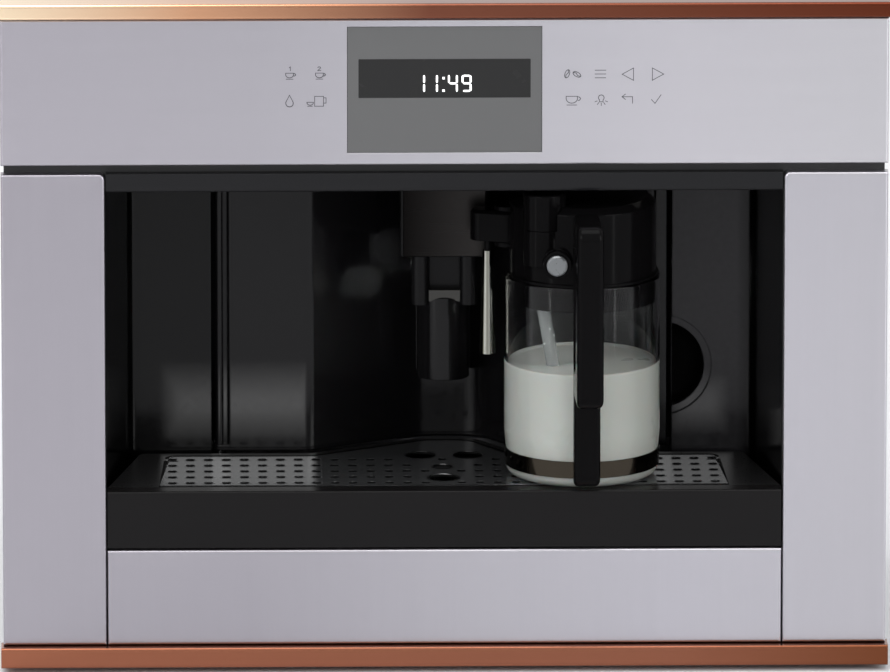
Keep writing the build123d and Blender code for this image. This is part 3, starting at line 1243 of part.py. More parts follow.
# ---- Lids on the top
def hinged_lid(x, depth, size):
    """A flat lid with a barrel along its rear edge, and the ears with pins that carry it."""
    flange = size / 2 + HOPPER_FLANGE
    seat = BODY_TOP + HOPPER_WALL
    axis_z = seat + LID_GAP + LID_BARREL_RADIUS
    axis_depth = depth + flange - LID_BARREL_RADIUS - SEAM
    barrel_half = flange - LID_EAR - SEAM
    barrel_x = (x - barrel_half, x + barrel_half)
    lid_z = (seat + LID_GAP, seat + LID_GAP + LID_THICKNESS)
    lid = block(barrel_x, (depth - flange, axis_depth), lid_z)
    front_edges = nearest_edges(lid, Axis.Z, [
        (barrel_x[0], FACE_Y + depth - flange, lid_z[0]), (barrel_x[1], FACE_Y + depth - flange, lid_z[0])])
    lid = fillet(front_edges, LID_EAR)
    lid += round_across(barrel_x, axis_depth, axis_z, LID_BARREL_RADIUS)
    ears = None
    for side in (-1, 1):
        ear_x = sorted((x + side * flange, x + side * (flange - LID_EAR)))
        pin_x = sorted((x + side * flange, x + side * (barrel_half - LID_PIN_LENGTH)))
        ear = block(ear_x, around(axis_depth, 2 * LID_BARREL_RADIUS), (BODY_TOP, axis_z))
        ear += round_across(ear_x, axis_depth, axis_z, LID_BARREL_RADIUS)
        ear += round_across(pin_x, axis_depth, axis_z, LID_PIN_RADIUS)
        hole_x = sorted((x + side * flange, x + side * (barrel_half - LID_PIN_LENGTH - SEAM)))
        lid -= round_across(hole_x, axis_depth, axis_z, LID_PIN_RADIUS + RUNNING_FIT)
        ears = ear if ears is None else ears + ear
    return lid, ears


def funnel(x, depth, z, low_size, high_size):
    """A square funnel between two heights, where two sloping prisms cross."""
    low, high = low_size / 2, high_size / 2
    outline = [(depth - low, z[0]), (depth + low, z[0]), (depth + high, z[1]), (depth - high, z[1])]
    sides = side_prism(outline, around(x, high_size))
    across = Plane(origin=(0, FACE_Y + depth + high, 0), x_dir=(1, 0, 0), z_dir=(0, -1, 0))
    outline = Polyline((x - low, z[0]), (x + low, z[0]), (x + high, z[1]), (x - high, z[1]), close=True)
    return sides & extrude(across * make_face(outline), high_size)


def bean_hopper():
    """The funnel for the beans, hung in the top cover by its flange."""
    seat = BODY_TOP + HOPPER_WALL
    knee = COVER_UNDER - HOPPER_STRAIGHT
    outlet = BAY_TOP + GRINDER_HEIGHT + HOPPER_FLANGE
    outside = HOPPER_SIZE
    inside = HOPPER_SIZE - 2 * HOPPER_WALL
    flange = HOPPER_SIZE + 2 * HOPPER_FLANGE
    place = (around(HOPPER_X, flange), around(HOPPER_DEPTH, flange))
    hopper = block(place[0], place[1], (BODY_TOP, seat))
    hopper += block(around(HOPPER_X, outside), around(HOPPER_DEPTH, outside), (knee, BODY_TOP))
    hopper += funnel(HOPPER_X, HOPPER_DEPTH, (outlet, knee), HOPPER_OUTLET, outside)
    hopper -= block(around(HOPPER_X, inside), around(HOPPER_DEPTH, inside), (knee, seat + 1))
    hopper -= funnel(HOPPER_X, HOPPER_DEPTH, (outlet, knee), HOPPER_OUTLET - 2 * HOPPER_WALL, inside)
    return hopper + hinged_lid(HOPPER_X, HOPPER_DEPTH, HOPPER_SIZE)[1]


def powder_chute():
    """The square chute for ground coffee, from the top cover down to the bay."""
    seat = BODY_TOP + HOPPER_WALL
    flange = POWDER_SIZE + 2 * HOPPER_FLANGE
    inside = POWDER_SIZE - 2 * HOPPER_WALL
    chute = block(around(POWDER_X, flange), around(POWDER_DEPTH, flange), (BODY_TOP, seat))
    chute += block(around(POWDER_X, POWDER_SIZE), around(POWDER_DEPTH, POWDER_SIZE), (BAY_TOP, BODY_TOP))
    chute -= block(around(POWDER_X, inside), around(POWDER_DEPTH, inside), (BAY_TOP - 1, seat + 1))
    return chute + hinged_lid(POWDER_X, POWDER_DEPTH, POWDER_SIZE)[1]


def grinder():
    """The grinder on the bay: burr housing with its neck, motor, and the adjuster's bearing."""
    top = BAY_TOP + GRINDER_HEIGHT
    body = post(HOPPER_X, HOPPER_DEPTH, (BAY_TOP, top), GRINDER_RADIUS)
    body += post(HOPPER_X, HOPPER_DEPTH, (top, top + HOPPER_FLANGE), GRINDER_NECK_RADIUS)
    motor_x = (HOPPER_X + GRINDER_RADIUS - HOPPER_FLANGE, HOPPER_X + GRINDER_RADIUS + GRINDER_MOTOR_LENGTH)
    body += round_across(motor_x, HOPPER_DEPTH, BAY_TOP + GRINDER_MOTOR_RADIUS, GRINDER_MOTOR_RADIUS)
    adjuster_z = (BAY_TOP, BAY_TOP + ADJUSTER_HEIGHT)
    adjuster = block(around(ADJUSTER_X, ADJUSTER_SIZE), around(HOPPER_DEPTH, ADJUSTER_SIZE), adjuster_z)
    bore = (adjuster_z[1] - ADJUSTER_BORE, adjuster_z[1] + 1)
    link_x = (motor_x[1] - HOPPER_FLANGE, ADJUSTER_X)
    body += block(link_x, around(HOPPER_DEPTH, ADJUSTER_SIZE), (BAY_TOP, BAY_TOP + ADJUSTER_SIZE))
    body += adjuster
    return body - post(ADJUSTER_X, HOPPER_DEPTH, bore, GRIND_SPINDLE_RADIUS + RUNNING_FIT)


def grind_knob():
    """The fluted grind knob over the top cover, with its spindle down to the grinder."""
    low = BODY_TOP + LID_GAP
    knob = post(ADJUSTER_X, HOPPER_DEPTH, (low, low + GRIND_KNOB_HEIGHT), GRIND_KNOB_RADIUS)
    for index in range(GRIND_KNOB_FLUTES):
        angle = 2 * pi * index / GRIND_KNOB_FLUTES
        flute_x = ADJUSTER_X + (GRIND_KNOB_RADIUS + FLUTE_OFFSET) * cos(angle)
        flute_depth = HOPPER_DEPTH + (GRIND_KNOB_RADIUS + FLUTE_OFFSET) * sin(angle)
        knob -= post(flute_x, flute_depth, (low - 1, low + GRIND_KNOB_HEIGHT + 1), FLUTE_RADIUS)
    foot = BAY_TOP + ADJUSTER_HEIGHT - ADJUSTER_BORE + SEAM
    return knob + post(ADJUSTER_X, HOPPER_DEPTH, (foot, low), GRIND_SPINDLE_RADIUS)


# ---- Bay behind the door
def service_bay():
    """The moulded bay: walls down to the base, a deck, a ceiling and the openings for the chutes."""
    outer = DOORWAY_HALF + LINER_WALL
    start = DOOR_FACE + JAMB_DEPTH
    bay = None
    for side in (-1, 1):
        wall_x = sorted((side * DOORWAY_HALF, side * outer))
        wall = block(wall_x, (start, BAY_REAR), (BASE_TOP, BAY_TOP))
        bay = wall if bay is None else bay + wall
    across = (-outer, outer)
    bay += block(across, (BAY_REAR - LINER_WALL, BAY_REAR), (BASE_TOP, BAY_TOP))
    step = TROUGH_FLOOR + DOOR_THICKNESS + BAY_STEP_GAP
    bay += block(across, (step, BAY_REAR), (BAY_TOP - LINER_WALL, BAY_TOP))
    bay += block(across, (step, step + LINER_WALL), (BAY_TOP, DOORWAY_TOP))
    bay += block(across, (start, step + LINER_WALL), (DOORWAY_TOP, DOORWAY_TOP + LINER_WALL))
    for side in (-1, 1):
        wall_x = sorted((side * DOORWAY_HALF, side * outer))
        bay += block(wall_x, (start, step + LINER_WALL), (BAY_TOP, DOORWAY_TOP))
    bay += block(across, (BAY_FRONT, BAY_REAR), (DECK - LINER_WALL, DECK))
    bay += block(across, (BAY_FRONT, BAY_FRONT + LINER_WALL), (BASE_TOP, DECK))
    inside = POWDER_SIZE - 2 * HOPPER_WALL
    ceiling = (BAY_TOP - LINER_WALL - 1, BAY_TOP + 1)
    bay -= block(around(POWDER_X, inside), around(POWDER_DEPTH, inside), ceiling)
    bay -= post(HOPPER_X, HOPPER_DEPTH, ceiling, GRINDER_MOUTH_RADIUS)
    return bay


def brew_unit():
    """The brew unit on the deck: a frame with the piston's cylinder, its funnel and the handle."""
    front = BAY_FRONT + BREW_GAP_FRONT
    z = (DECK, DECK + BREW_HEIGHT)
    x = around(BREW_X, BREW_WIDTH)
    depth = (front, front + BREW_DEPTH)
    unit = block(x, depth, (z[0], z[0] + BREW_BASE))
    unit += block(x, (depth[1] - BREW_WALL, depth[1]), z)
    for cheek_x in ((x[0], x[0] + BREW_WALL), (x[1] - BREW_WALL, x[1])):
        cheek = block(cheek_x, depth, z)
        unit += fillet(nearest_edges(cheek, Axis.X, [(cheek_x[0], FACE_Y + depth[0], z[1])]), BREW_CORNER)
    middle = front + BREW_DEPTH / 2
    top = z[0] + BREW_CYLINDER_TOP
    mouth = BREW_CYLINDER_RADIUS + BREW_WALL
    unit += post(BREW_X, middle, (z[0] + BREW_BASE, top), BREW_CYLINDER_RADIUS)
    unit += post(BREW_X, middle, (top, top + BREW_FUNNEL_HEIGHT), mouth, mouth + BREW_FUNNEL_GROWTH)
    unit += block(x, around(middle, 2 * BREW_CYLINDER_RADIUS), around(top, BREW_BEAM))
    unit -= post(BREW_X, middle, (z[0] + BREW_BORE_RISE, z[1]), BREW_CYLINDER_RADIUS - BREW_WALL)
    return unit + round_across(x, front + BREW_WALL, z[0] + BREW_GRIP_RISE, BREW_WALL)


def grounds_container():
    """The open box for the spent coffee, standing on the deck."""
    front = BAY_FRONT + BREW_GAP_FRONT
    x = around(GROUNDS_X, GROUNDS_WIDTH)
    depth = (front, front + GROUNDS_LENGTH)
    box = block(x, depth, (DECK, DECK + GROUNDS_HEIGHT))
    box = fillet(box.edges().filter_by(Axis.Z), GROUNDS_CORNER)
    return offset(box, amount=-GROUNDS_WALL, openings=box.faces().sort_by(Axis.Z)[-1])


# ---- Water and power
def water_tank():
    """The open-topped tank with its rim and outlet valve."""
    low = TANK_BOTTOM + SLIDING_PLAY
    high = BODY_TOP + SLIDING_PLAY
    x = around(TANK_X, TANK_WIDTH)
    depth = (TANK_FRONT, TANK_FRONT + TANK_LENGTH)
    tank = block(x, depth, (low, high + TANK_RIM_THICKNESS))
    tank = fillet(tank.edges().filter_by(Axis.Z), TANK_CORNER)
    tank = offset(tank, amount=-TANK_WALL, openings=tank.faces().sort_by(Axis.Z)[-1])
    rim = block((x[0] - TANK_RIM, x[1] + TANK_RIM), (depth[0] - TANK_RIM, depth[1] + TANK_RIM),
                (high, high + TANK_RIM_THICKNESS))
    rim = fillet(rim.edges().filter_by(Axis.Z), TANK_CORNER)
    inner = block((x[0] + TANK_WALL, x[1] - TANK_WALL), (depth[0] + TANK_WALL, depth[1] - TANK_WALL),
                  (high - 1, high + TANK_RIM_THICKNESS + 1))
    tank += rim - fillet(inner.edges().filter_by(Axis.Z), TANK_CORNER - TANK_WALL)
    rear = TANK_FRONT + TANK_VALVE_BACK
    return tank + post(TANK_X, rear, (low - TANK_VALVE_LENGTH, low), TANK_VALVE_RADIUS)


def thermoblock():
    """The finned heating block on its legs behind the bay."""
    front = BAY_REAR + 2 * LINER_WALL
    x = around(BLOCK_X, BLOCK_WIDTH)
    depth = (front, front + BLOCK_LENGTH)
    z = (BASE_TOP + BLOCK_LEG, BASE_TOP + BLOCK_LEG + BLOCK_HEIGHT)
    heater = block(x, depth, z)
    pitch = BLOCK_HEIGHT / BLOCK_FINS
    for index in range(BLOCK_FINS):
        fin_z = around(z[0] + (index + 0.5) * pitch, FIN_THICKNESS)
        heater += block((x[0] - FIN_HEIGHT, x[1] + FIN_HEIGHT), depth, fin_z)
    for leg_x in (x[0] + FIN_HEIGHT, x[1] - FIN_HEIGHT):
        heater += block(around(leg_x, FIN_HEIGHT), depth, (BASE_TOP, z[0]))
    return heater


def water_pump():
    """The solenoid pump, held by two feet on the base, with its spigots."""
    centre_z = BASE_TOP + PUMP_CENTRE_RISE
    x = around(PUMP_X, PUMP_LENGTH)
    pump = round_across(x, PUMP_DEPTH, centre_z, PUMP_RADIUS)
    pump += block(around(PUMP_X, PUMP_COIL), around(PUMP_DEPTH, PUMP_COIL), around(centre_z, PUMP_COIL))
    pump += round_across((x[0] - PUMP_SPIGOT_LENGTH, x[1] + PUMP_SPIGOT_LENGTH), PUMP_DEPTH, centre_z,
                         PUMP_SPIGOT_RADIUS)
    for foot_x in (x[0] + PUMP_SPIGOT_RADIUS, x[1] - PUMP_SPIGOT_RADIUS):
        foot_width = around(foot_x, 2 * PUMP_SPIGOT_RADIUS)
        pump += block(foot_width, around(PUMP_DEPTH, PUMP_COIL), (BASE_TOP, centre_z))
    return pump


def power_board():
    """The power board on stand-offs on the left side panel, with its parts."""
    wall = -BODY_HALF + SHEET
    board_x = (wall + BOARD_STANDOFF, wall + BOARD_STANDOFF + BOARD_THICKNESS)
    depth = (POWER_BOARD_FRONT, POWER_BOARD_FRONT + POWER_BOARD_LENGTH)
    z = (POWER_BOARD_BOTTOM, POWER_BOARD_BOTTOM + POWER_BOARD_HEIGHT)
    board = block(board_x, depth, z)
    for corner_depth in (depth[0] + BOARD_BOSS_INSET, depth[1] - BOARD_BOSS_INSET):
        for corner_z in (z[0] + BOARD_BOSS_INSET, z[1] - BOARD_BOSS_INSET):
            board += round_across((wall, board_x[0]), corner_depth, corner_z, BOARD_BOSS_RADIUS)
    heat_sink = (depth[0] + HEAT_SINK_START, depth[0] + HEAT_SINK_START + HEAT_SINK_LENGTH)
    heat_sink_z = (z[0] + HEAT_SINK_MARGIN, z[1] - HEAT_SINK_MARGIN)
    board += block((board_x[1], board_x[1] + HEAT_SINK_PROUD), heat_sink, heat_sink_z)
    for index in range(CAPACITORS):
        place = depth[0] + CAPACITOR_START + CAPACITOR_PITCH * index
        can = (board_x[1], board_x[1] + CAPACITOR_LENGTH)
        board += round_across(can, place, z[0] + CAPACITOR_RISE, CAPACITOR_RADIUS)
    return board


def inlet_places():
    """The heights of the socket and of the switch in the power inlet's plate."""
    return INLET_Z - SOCKET_DROP, INLET_Z + SWITCH_RISE


def power_inlet():
    """The appliance inlet with the housing of the main switch, on one plate."""
    socket_z, switch_z = inlet_places()
    plate = block(around(INLET_X, INLET_PLATE_WIDTH), (REAR, REAR_MOST), around(INLET_Z, INLET_PLATE_HEIGHT))
    rear = REAR_MOST
    socket_x = INLET_SOCKET_WIDTH + 2 * INLET_WALL
    socket_depth = (rear - INLET_SOCKET_DEPTH - INLET_WALL, REAR)
    shroud_z = around(socket_z, INLET_SOCKET_HEIGHT + 2 * INLET_WALL)
    plate += block(around(INLET_X, socket_x), socket_depth, shroud_z)
    switch_width = SWITCH_WIDTH + 2 * SWITCH_PLAY
    switch_height = SWITCH_HEIGHT + 2 * SWITCH_PLAY
    housing_depth = (rear - SWITCH_DEPTH - 2 * SWITCH_PLAY - INLET_WALL, REAR)
    plate += block(around(INLET_X, switch_width + 2 * INLET_WALL), housing_depth,
                   around(switch_z, switch_height + 2 * INLET_WALL))
    plate -= block(around(INLET_X, INLET_SOCKET_WIDTH), (rear - INLET_SOCKET_DEPTH, rear + 1),
                   around(socket_z, INLET_SOCKET_HEIGHT))
    plate -= block(around(INLET_X, switch_width), (rear - SWITCH_DEPTH - 2 * SWITCH_PLAY, rear + 1),
                   around(switch_z, switch_height))
    pin_depth = (rear - INLET_SOCKET_DEPTH, rear - INLET_SOCKET_DEPTH + INLET_PIN_LENGTH)
    for offset_x in (-INLET_PIN_SPREAD, 0.0, INLET_PIN_SPREAD):
        rise = -INLET_PIN_DROP if offset_x else EARTH_PIN_RISE
        pin_z = around(socket_z + rise, INLET_PIN_HEIGHT)
        plate += block(around(INLET_X + offset_x, INLET_PIN_WIDTH), pin_depth, pin_z)
    pivot_depth = rear - SWITCH_DEPTH / 2 - SWITCH_PLAY
    pivot_half = switch_width / 2 + INLET_WALL / 2
    for side in (-1, 1):
        pivot_x = sorted((INLET_X + side * pivot_half, INLET_X + side * (SWITCH_WIDTH / 2 - INLET_WALL)))
        plate += round_across(pivot_x, pivot_depth, switch_z, LID_PIN_RADIUS)
    return plate


def main_switch():
    """The rocker of the main switch, tilted to its off side."""
    _, switch_z = inlet_places()
    pivot_depth = REAR_MOST - SWITCH_DEPTH / 2 - SWITCH_PLAY
    rocker = Box(SWITCH_WIDTH, SWITCH_DEPTH, SWITCH_HEIGHT)
    rocker = fillet(rocker.edges().filter_by(Axis.X), SWITCH_EDGE)
    rocker -= Rot(Y=90) * Cylinder(LID_PIN_RADIUS + RUNNING_FIT, 2 * SWITCH_WIDTH)
    keep = Rot(Y=90) * Cylinder(LID_PIN_RADIUS + SEAM, SWITCH_WIDTH - 2 * INLET_WALL - 2 * SEAM)
    return Pos(INLET_X, FACE_Y + pivot_depth, switch_z) * Rot(X=SWITCH_TILT) * (rocker + keep)


# ---- The whole machine
def main():
    """Write every sub-part to its own file."""
    os.makedirs("parts", exist_ok=True)
    for side, sign in (("left", -1), ("right", 1)):
        outer, middle, inner = rail_side(sign)
        save("rail_outer_" + side, outer)
        save("rail_middle_" + side, middle)
        save("rail_inner_" + side, inner)

    save("chassis_base", chassis_base())
    save("side_panel_left", mirrored(side_panel()))
    save("side_panel_right", side_panel() + tank_shelf())
    save("back_panel", back_panel())
    save("top_cover", top_cover())
    save("housing_screws", *housing_screws())

    save("front_frame", front_frame())
    save("control_panel", control_panel())
    save("column_left", mirrored(column()))
    save("column_right", column())
    save("lower_panel", lower_panel())
    top_leg = (OVERALL_HEIGHT - TRIM_LEG, OVERALL_HEIGHT)
    save("trim_top", trim((CONTROL_TOP, OVERALL_HEIGHT), top_leg, TOP_TRIM_PROJECTION))
    save("trim_bottom", trim((0, BOTTOM_TRIM_HEIGHT), (0, TRIM_LEG), BOTTOM_TRIM_PROJECTION))
    save("lip_strip", lip_strip())
    save("display_window", display_window())
    save("display_module", display_module())
    save("touch_board", *touch_boards())

    save("niche_liner", niche_liner())
    save("niche_lamps", *niche_lamps())
    save("door_hinge_pins", *hinge_pins())
    save("service_door", service_door())
    save("steam_nozzle", steam_nozzle())
    save("spout_carriage", spout_carriage())
    save("spout_bridge", spout_bridge())
    save("dispenser_plate", dispenser_plate())

    save("jug_glass", jug_glass())
    save("jug_band", jug_band())
    save("jug_handle", jug_handle())
    save("milk_fill", milk_fill())
    save("jug_lid", jug_lid())
    save("milk_intake_tube", milk_intake_tube())
    save("froth_knob", froth_knob())
    save("clean_button", clean_button())
    save("milk_spout_arm", milk_spout_arm())
    save("milk_spout_tube", milk_spout_tube())

    save("drip_tray", drip_tray())
    save("tray_fascia", tray_fascia())
    save("cup_grille", cup_grille())
    save("level_float", level_float())

    save("bean_hopper", bean_hopper())
    save("bean_lid", hinged_lid(HOPPER_X, HOPPER_DEPTH, HOPPER_SIZE)[0])
    save("powder_chute", powder_chute())
    save("powder_lid", hinged_lid(POWDER_X, POWDER_DEPTH, POWDER_SIZE)[0])
    save("grinder", grinder())
    save("grind_knob", grind_knob())

    save("service_bay", service_bay())
    save("brew_unit", brew_unit())
    save("grounds_container", grounds_container())
    save("water_tank", water_tank())
    save("thermoblock", thermoblock())
    save("water_pump", water_pump())
    save("power_board", power_board())
    save("power_inlet", power_inlet())
    save("main_switch", main_switch())


main()
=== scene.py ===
import bpy
import bmesh
from math import cos, hypot, pi, sin
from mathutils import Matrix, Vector


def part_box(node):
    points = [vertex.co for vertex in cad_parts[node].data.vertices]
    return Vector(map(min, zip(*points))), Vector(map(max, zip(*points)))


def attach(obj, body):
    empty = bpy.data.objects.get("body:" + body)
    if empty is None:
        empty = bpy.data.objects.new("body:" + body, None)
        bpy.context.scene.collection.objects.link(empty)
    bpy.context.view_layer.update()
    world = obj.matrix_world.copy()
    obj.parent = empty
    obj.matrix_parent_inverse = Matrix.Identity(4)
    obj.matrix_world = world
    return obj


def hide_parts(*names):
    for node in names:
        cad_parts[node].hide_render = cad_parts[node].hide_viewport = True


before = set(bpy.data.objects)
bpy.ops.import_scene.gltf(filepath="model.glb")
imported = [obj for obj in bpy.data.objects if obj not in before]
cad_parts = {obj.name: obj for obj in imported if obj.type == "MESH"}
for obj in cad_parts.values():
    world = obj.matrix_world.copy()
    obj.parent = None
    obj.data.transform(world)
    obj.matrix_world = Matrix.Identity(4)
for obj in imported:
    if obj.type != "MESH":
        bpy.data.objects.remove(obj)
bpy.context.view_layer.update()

# ---- Studio
# The machine is looked at from straight ahead and a little above, through a very long lens.
# A pale floor lies under it, and large soft lamps hang in front, beside, above and behind.
scene = bpy.context.scene
scene.view_settings.view_transform = "Standard"
camera_data = bpy.data.cameras.new("camera")
camera_data.sensor_width = 36.0
camera_data.lens = 603.3
camera_data.clip_start = 0.1
camera_data.clip_end = 100.0
camera = bpy.data.objects.new("camera", camera_data)
scene.collection.objects.link(camera)
scene.camera = camera
steel_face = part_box("control_panel")[0].y
camera.location = (-0.1698, steel_face - 9.7422, 2.4765)
looked_at = Vector((0.00027, steel_face, 0.22702))
camera.rotation_mode = "QUATERNION"
camera.rotation_quaternion = (looked_at - camera.location).to_track_quat("-Z", "Y")


def hang_lamp(name, place, aim, width, height, power, only_gloss=False, spread=180.0, in_gloss=True):
    """A soft lamp that the camera doesn't see, which may show only in gloss or not in gloss at all."""
    lamp_data = bpy.data.lights.new(name, "AREA")
    lamp_data.shape = "RECTANGLE"
    lamp_data.size = width
    lamp_data.size_y = height
    lamp_data.energy = power
    lamp_data.spread = spread * pi / 180
    lamp = bpy.data.objects.new(name, lamp_data)
    lamp.location = place
    lamp.rotation_mode = "QUATERNION"
    lamp.rotation_quaternion = (Vector(aim) - Vector(place)).to_track_quat("-Z", "Y")
    lamp.visible_camera = False
    lamp.visible_diffuse = not only_gloss
    lamp.visible_glossy = in_gloss
    scene.collection.objects.link(lamp)


middle = (0.0, 0.0, 0.22)
hang_lamp("lamp_left", (-2.2, -2.6, 1.9), middle, 1.8, 1.8, 46.0)
hang_lamp("lamp_right", (2.6, -2.2, 1.3), middle, 1.6, 2.0, 52.0)
hang_lamp("lamp_above", (0.0, -0.6, 2.8), middle, 2.4, 1.6, 40.0)
hang_lamp("lamp_behind", (-1.2, 2.6, 2.0), middle, 2.0, 1.6, 40.0, in_gloss=False)
strip_aim = (0.05, steel_face + 0.05, 0.21)
for name, x, power in (("strip_left", -0.56, 0.16), ("strip_right", 0.70, 0.14)):
    hang_lamp(name, (x, steel_face - 0.5, 0.21), strip_aim, 0.04, 0.36, power, only_gloss=True)

air = bpy.data.worlds.new("air")
scene.world = air
air.use_nodes = True
air_nodes = air.node_tree.nodes
air_links = air.node_tree.links
dim = air_nodes["Background"]
dim.inputs["Color"].default_value = (0.92, 0.94, 1.0, 1.0)
dim.inputs["Strength"].default_value = 0.42
white = air_nodes.new("ShaderNodeBackground")
white.inputs["Strength"].default_value = 1.0
white.inputs["Color"].default_value = (1.0, 1.0, 1.0, 1.0)


def seen_ray(nodes, links):
    """1 where a ray comes from the camera, a gloss or a clear piece, and 0 where it only carries light."""
    path = nodes.new("ShaderNodeLightPath")
    first = nodes.new("ShaderNodeMath")
    first.operation = "MAXIMUM"
    second = nodes.new("ShaderNodeMath")
    second.operation = "MAXIMUM"
    links.new(path.outputs["Is Camera Ray"], first.inputs[0])
    links.new(path.outputs["Is Glossy Ray"], first.inputs[1])
    links.new(first.outputs[0], second.inputs[0])
    links.new(path.outputs["Is Transmission Ray"], second.inputs[1])
    return second.outputs[0]


air_choice = air_nodes.new("ShaderNodeMixShader")
air_links.new(seen_ray(air_nodes, air_links), air_choice.inputs[0])
air_links.new(dim.outputs[0], air_choice.inputs[1])
air_links.new(white.outputs[0], air_choice.inputs[2])
air_links.new(air_choice.outputs[0], air_nodes["World Output"].inputs["Surface"])


def new_piece(name, mesh_maker, *slots):
    """A mesh object made by filling an empty bmesh."""
    shape = bmesh.new()
    mesh_maker(shape)
    mesh = bpy.data.meshes.new(name)
    shape.to_mesh(mesh)
    shape.free()
    for finish in slots:
        mesh.materials.append(finish)
    made = bpy.data.objects.new(name, mesh)
    scene.collection.objects.link(made)
    return made


floor_level = -0.004
floor_reach = 16.0
fade_start = 0.7
fade_end = 2.6


def flat_floor(shape):
    """A wide level floor."""
    corners = ((-1, -1), (1, -1), (1, 1), (-1, 1))
    shape.faces.new([shape.verts.new((floor_reach * x, floor_reach * y, floor_level)) for x, y in corners])


pale_paper = bpy.data.materials.new("pale_paper")
pale_paper.use_nodes = True
paper_shader = pale_paper.node_tree.nodes["Principled BSDF"]
paper_shader.inputs["Base Color"].default_value = (0.86, 0.86, 0.87, 1.0)
paper_shader.inputs["Roughness"].default_value = 0.9
# To the camera alone the paper fades to plain white away from the machine.
paper_nodes = pale_paper.node_tree.nodes
paper_links = pale_paper.node_tree.links
paper_place = paper_nodes.new("ShaderNodeTexCoord")
paper_reach = paper_nodes.new("ShaderNodeVectorMath")
paper_reach.operation = "LENGTH"
paper_links.new(paper_place.outputs["Object"], paper_reach.inputs[0])
paper_fade = paper_nodes.new("ShaderNodeMapRange")
paper_fade.interpolation_type = "SMOOTHSTEP"
paper_fade.inputs["From Min"].default_value = fade_start
paper_fade.inputs["From Max"].default_value = fade_end
paper_links.new(paper_reach.outputs["Value"], paper_fade.inputs["Value"])
paper_path = paper_nodes.new("ShaderNodeLightPath")
paper_share = paper_nodes.new("ShaderNodeMath")
paper_share.operation = "MULTIPLY"
paper_links.new(paper_fade.outputs["Result"], paper_share.inputs[0])
paper_links.new(paper_path.outputs["Is Camera Ray"], paper_share.inputs[1])
paper_white = paper_nodes.new("ShaderNodeEmission")
paper_white.inputs["Color"].default_value = (1.0, 1.0, 1.0, 1.0)
paper_mix = paper_nodes.new("ShaderNodeMixShader")
paper_links.new(paper_share.outputs[0], paper_mix.inputs[0])
paper_links.new(paper_shader.outputs[0], paper_mix.inputs[1])
paper_links.new(paper_white.outputs[0], paper_mix.inputs[2])
paper_links.new(paper_mix.outputs[0], paper_nodes["Material Output"].inputs["Surface"])
floor = new_piece("floor", flat_floor, pale_paper)


# ---- Telescopic rails
# Two three-part rails carry the machine: roll-formed steel with a bright zinc coat. The outer
# members are screwed to the cabinet sides, and the inner ones are riveted to the housing.
def finish_of(name, colour, roughness, metallic=0.0, grain=300.0, stretch=(1.0, 1.0, 1.0),
              relief=0.0, mottle=0.05, wear=0.12, specular=0.5, edge=0.0, painted_light_stops=None):
    """A finish with grain: its colour mottles, its gloss varies and its surface has a fine relief.

    Sharp edges catch the light as if they were rounded by the length called edge. Where stops of (x, colour)
    are given, the colour is multiplied by a tone that runs from stop to stop along X: painted light and
    shade across the front.
    """
    made = bpy.data.materials.new(name)
    made.use_nodes = True
    nodes = made.node_tree.nodes
    links = made.node_tree.links
    shader = nodes["Principled BSDF"]
    shader.inputs["Metallic"].default_value = metallic
    shader.inputs["Specular IOR Level"].default_value = specular
    place = nodes.new("ShaderNodeTexCoord")
    along = nodes.new("ShaderNodeMapping")
    along.inputs["Scale"].default_value = stretch
    noise = nodes.new("ShaderNodeTexNoise")
    noise.inputs["Scale"].default_value = grain
    noise.inputs["Detail"].default_value = 5.0
    links.new(place.outputs["Object"], along.inputs["Vector"])
    links.new(along.outputs["Vector"], noise.inputs["Vector"])
    tint = nodes.new("ShaderNodeMix")
    tint.data_type = "RGBA"
    tint.inputs["A"].default_value = (*[part * (1 - mottle) for part in colour], 1.0)
    tint.inputs["B"].default_value = (*[min(part * (1 + mottle), 1.0) for part in colour], 1.0)
    links.new(noise.outputs["Fac"], tint.inputs["Factor"])
    if painted_light_stops is None:
        links.new(tint.outputs["Result"], shader.inputs["Base Color"])
    else:
        links.new(paint_light_along_x(nodes, links, place, tint, painted_light_stops), shader.inputs["Base Color"])
    gloss = nodes.new("ShaderNodeMapRange")
    gloss.inputs["From Min"].default_value = 0.3
    gloss.inputs["From Max"].default_value = 0.7
    gloss.inputs["To Min"].default_value = roughness * (1 - wear)
    gloss.inputs["To Max"].default_value = min(roughness * (1 + wear), 1.0)
    links.new(noise.outputs["Fac"], gloss.inputs["Value"])
    links.new(gloss.outputs["Result"], shader.inputs["Roughness"])
    if edge > 0:
        rounding = nodes.new("ShaderNodeBevel")
        rounding.samples = 4
        rounding.inputs["Radius"].default_value = edge
        links.new(rounding.outputs["Normal"], shader.inputs["Normal"])
    if relief > 0:
        bump = nodes.new("ShaderNodeBump")
        bump.inputs["Strength"].default_value = 1.0
        bump.inputs["Distance"].default_value = relief
        links.new(noise.outputs["Fac"], bump.inputs["Height"])
        if edge > 0:
            links.new(rounding.outputs["Normal"], bump.inputs["Normal"])
        links.new(bump.outputs["Normal"], shader.inputs["Normal"])
    return made


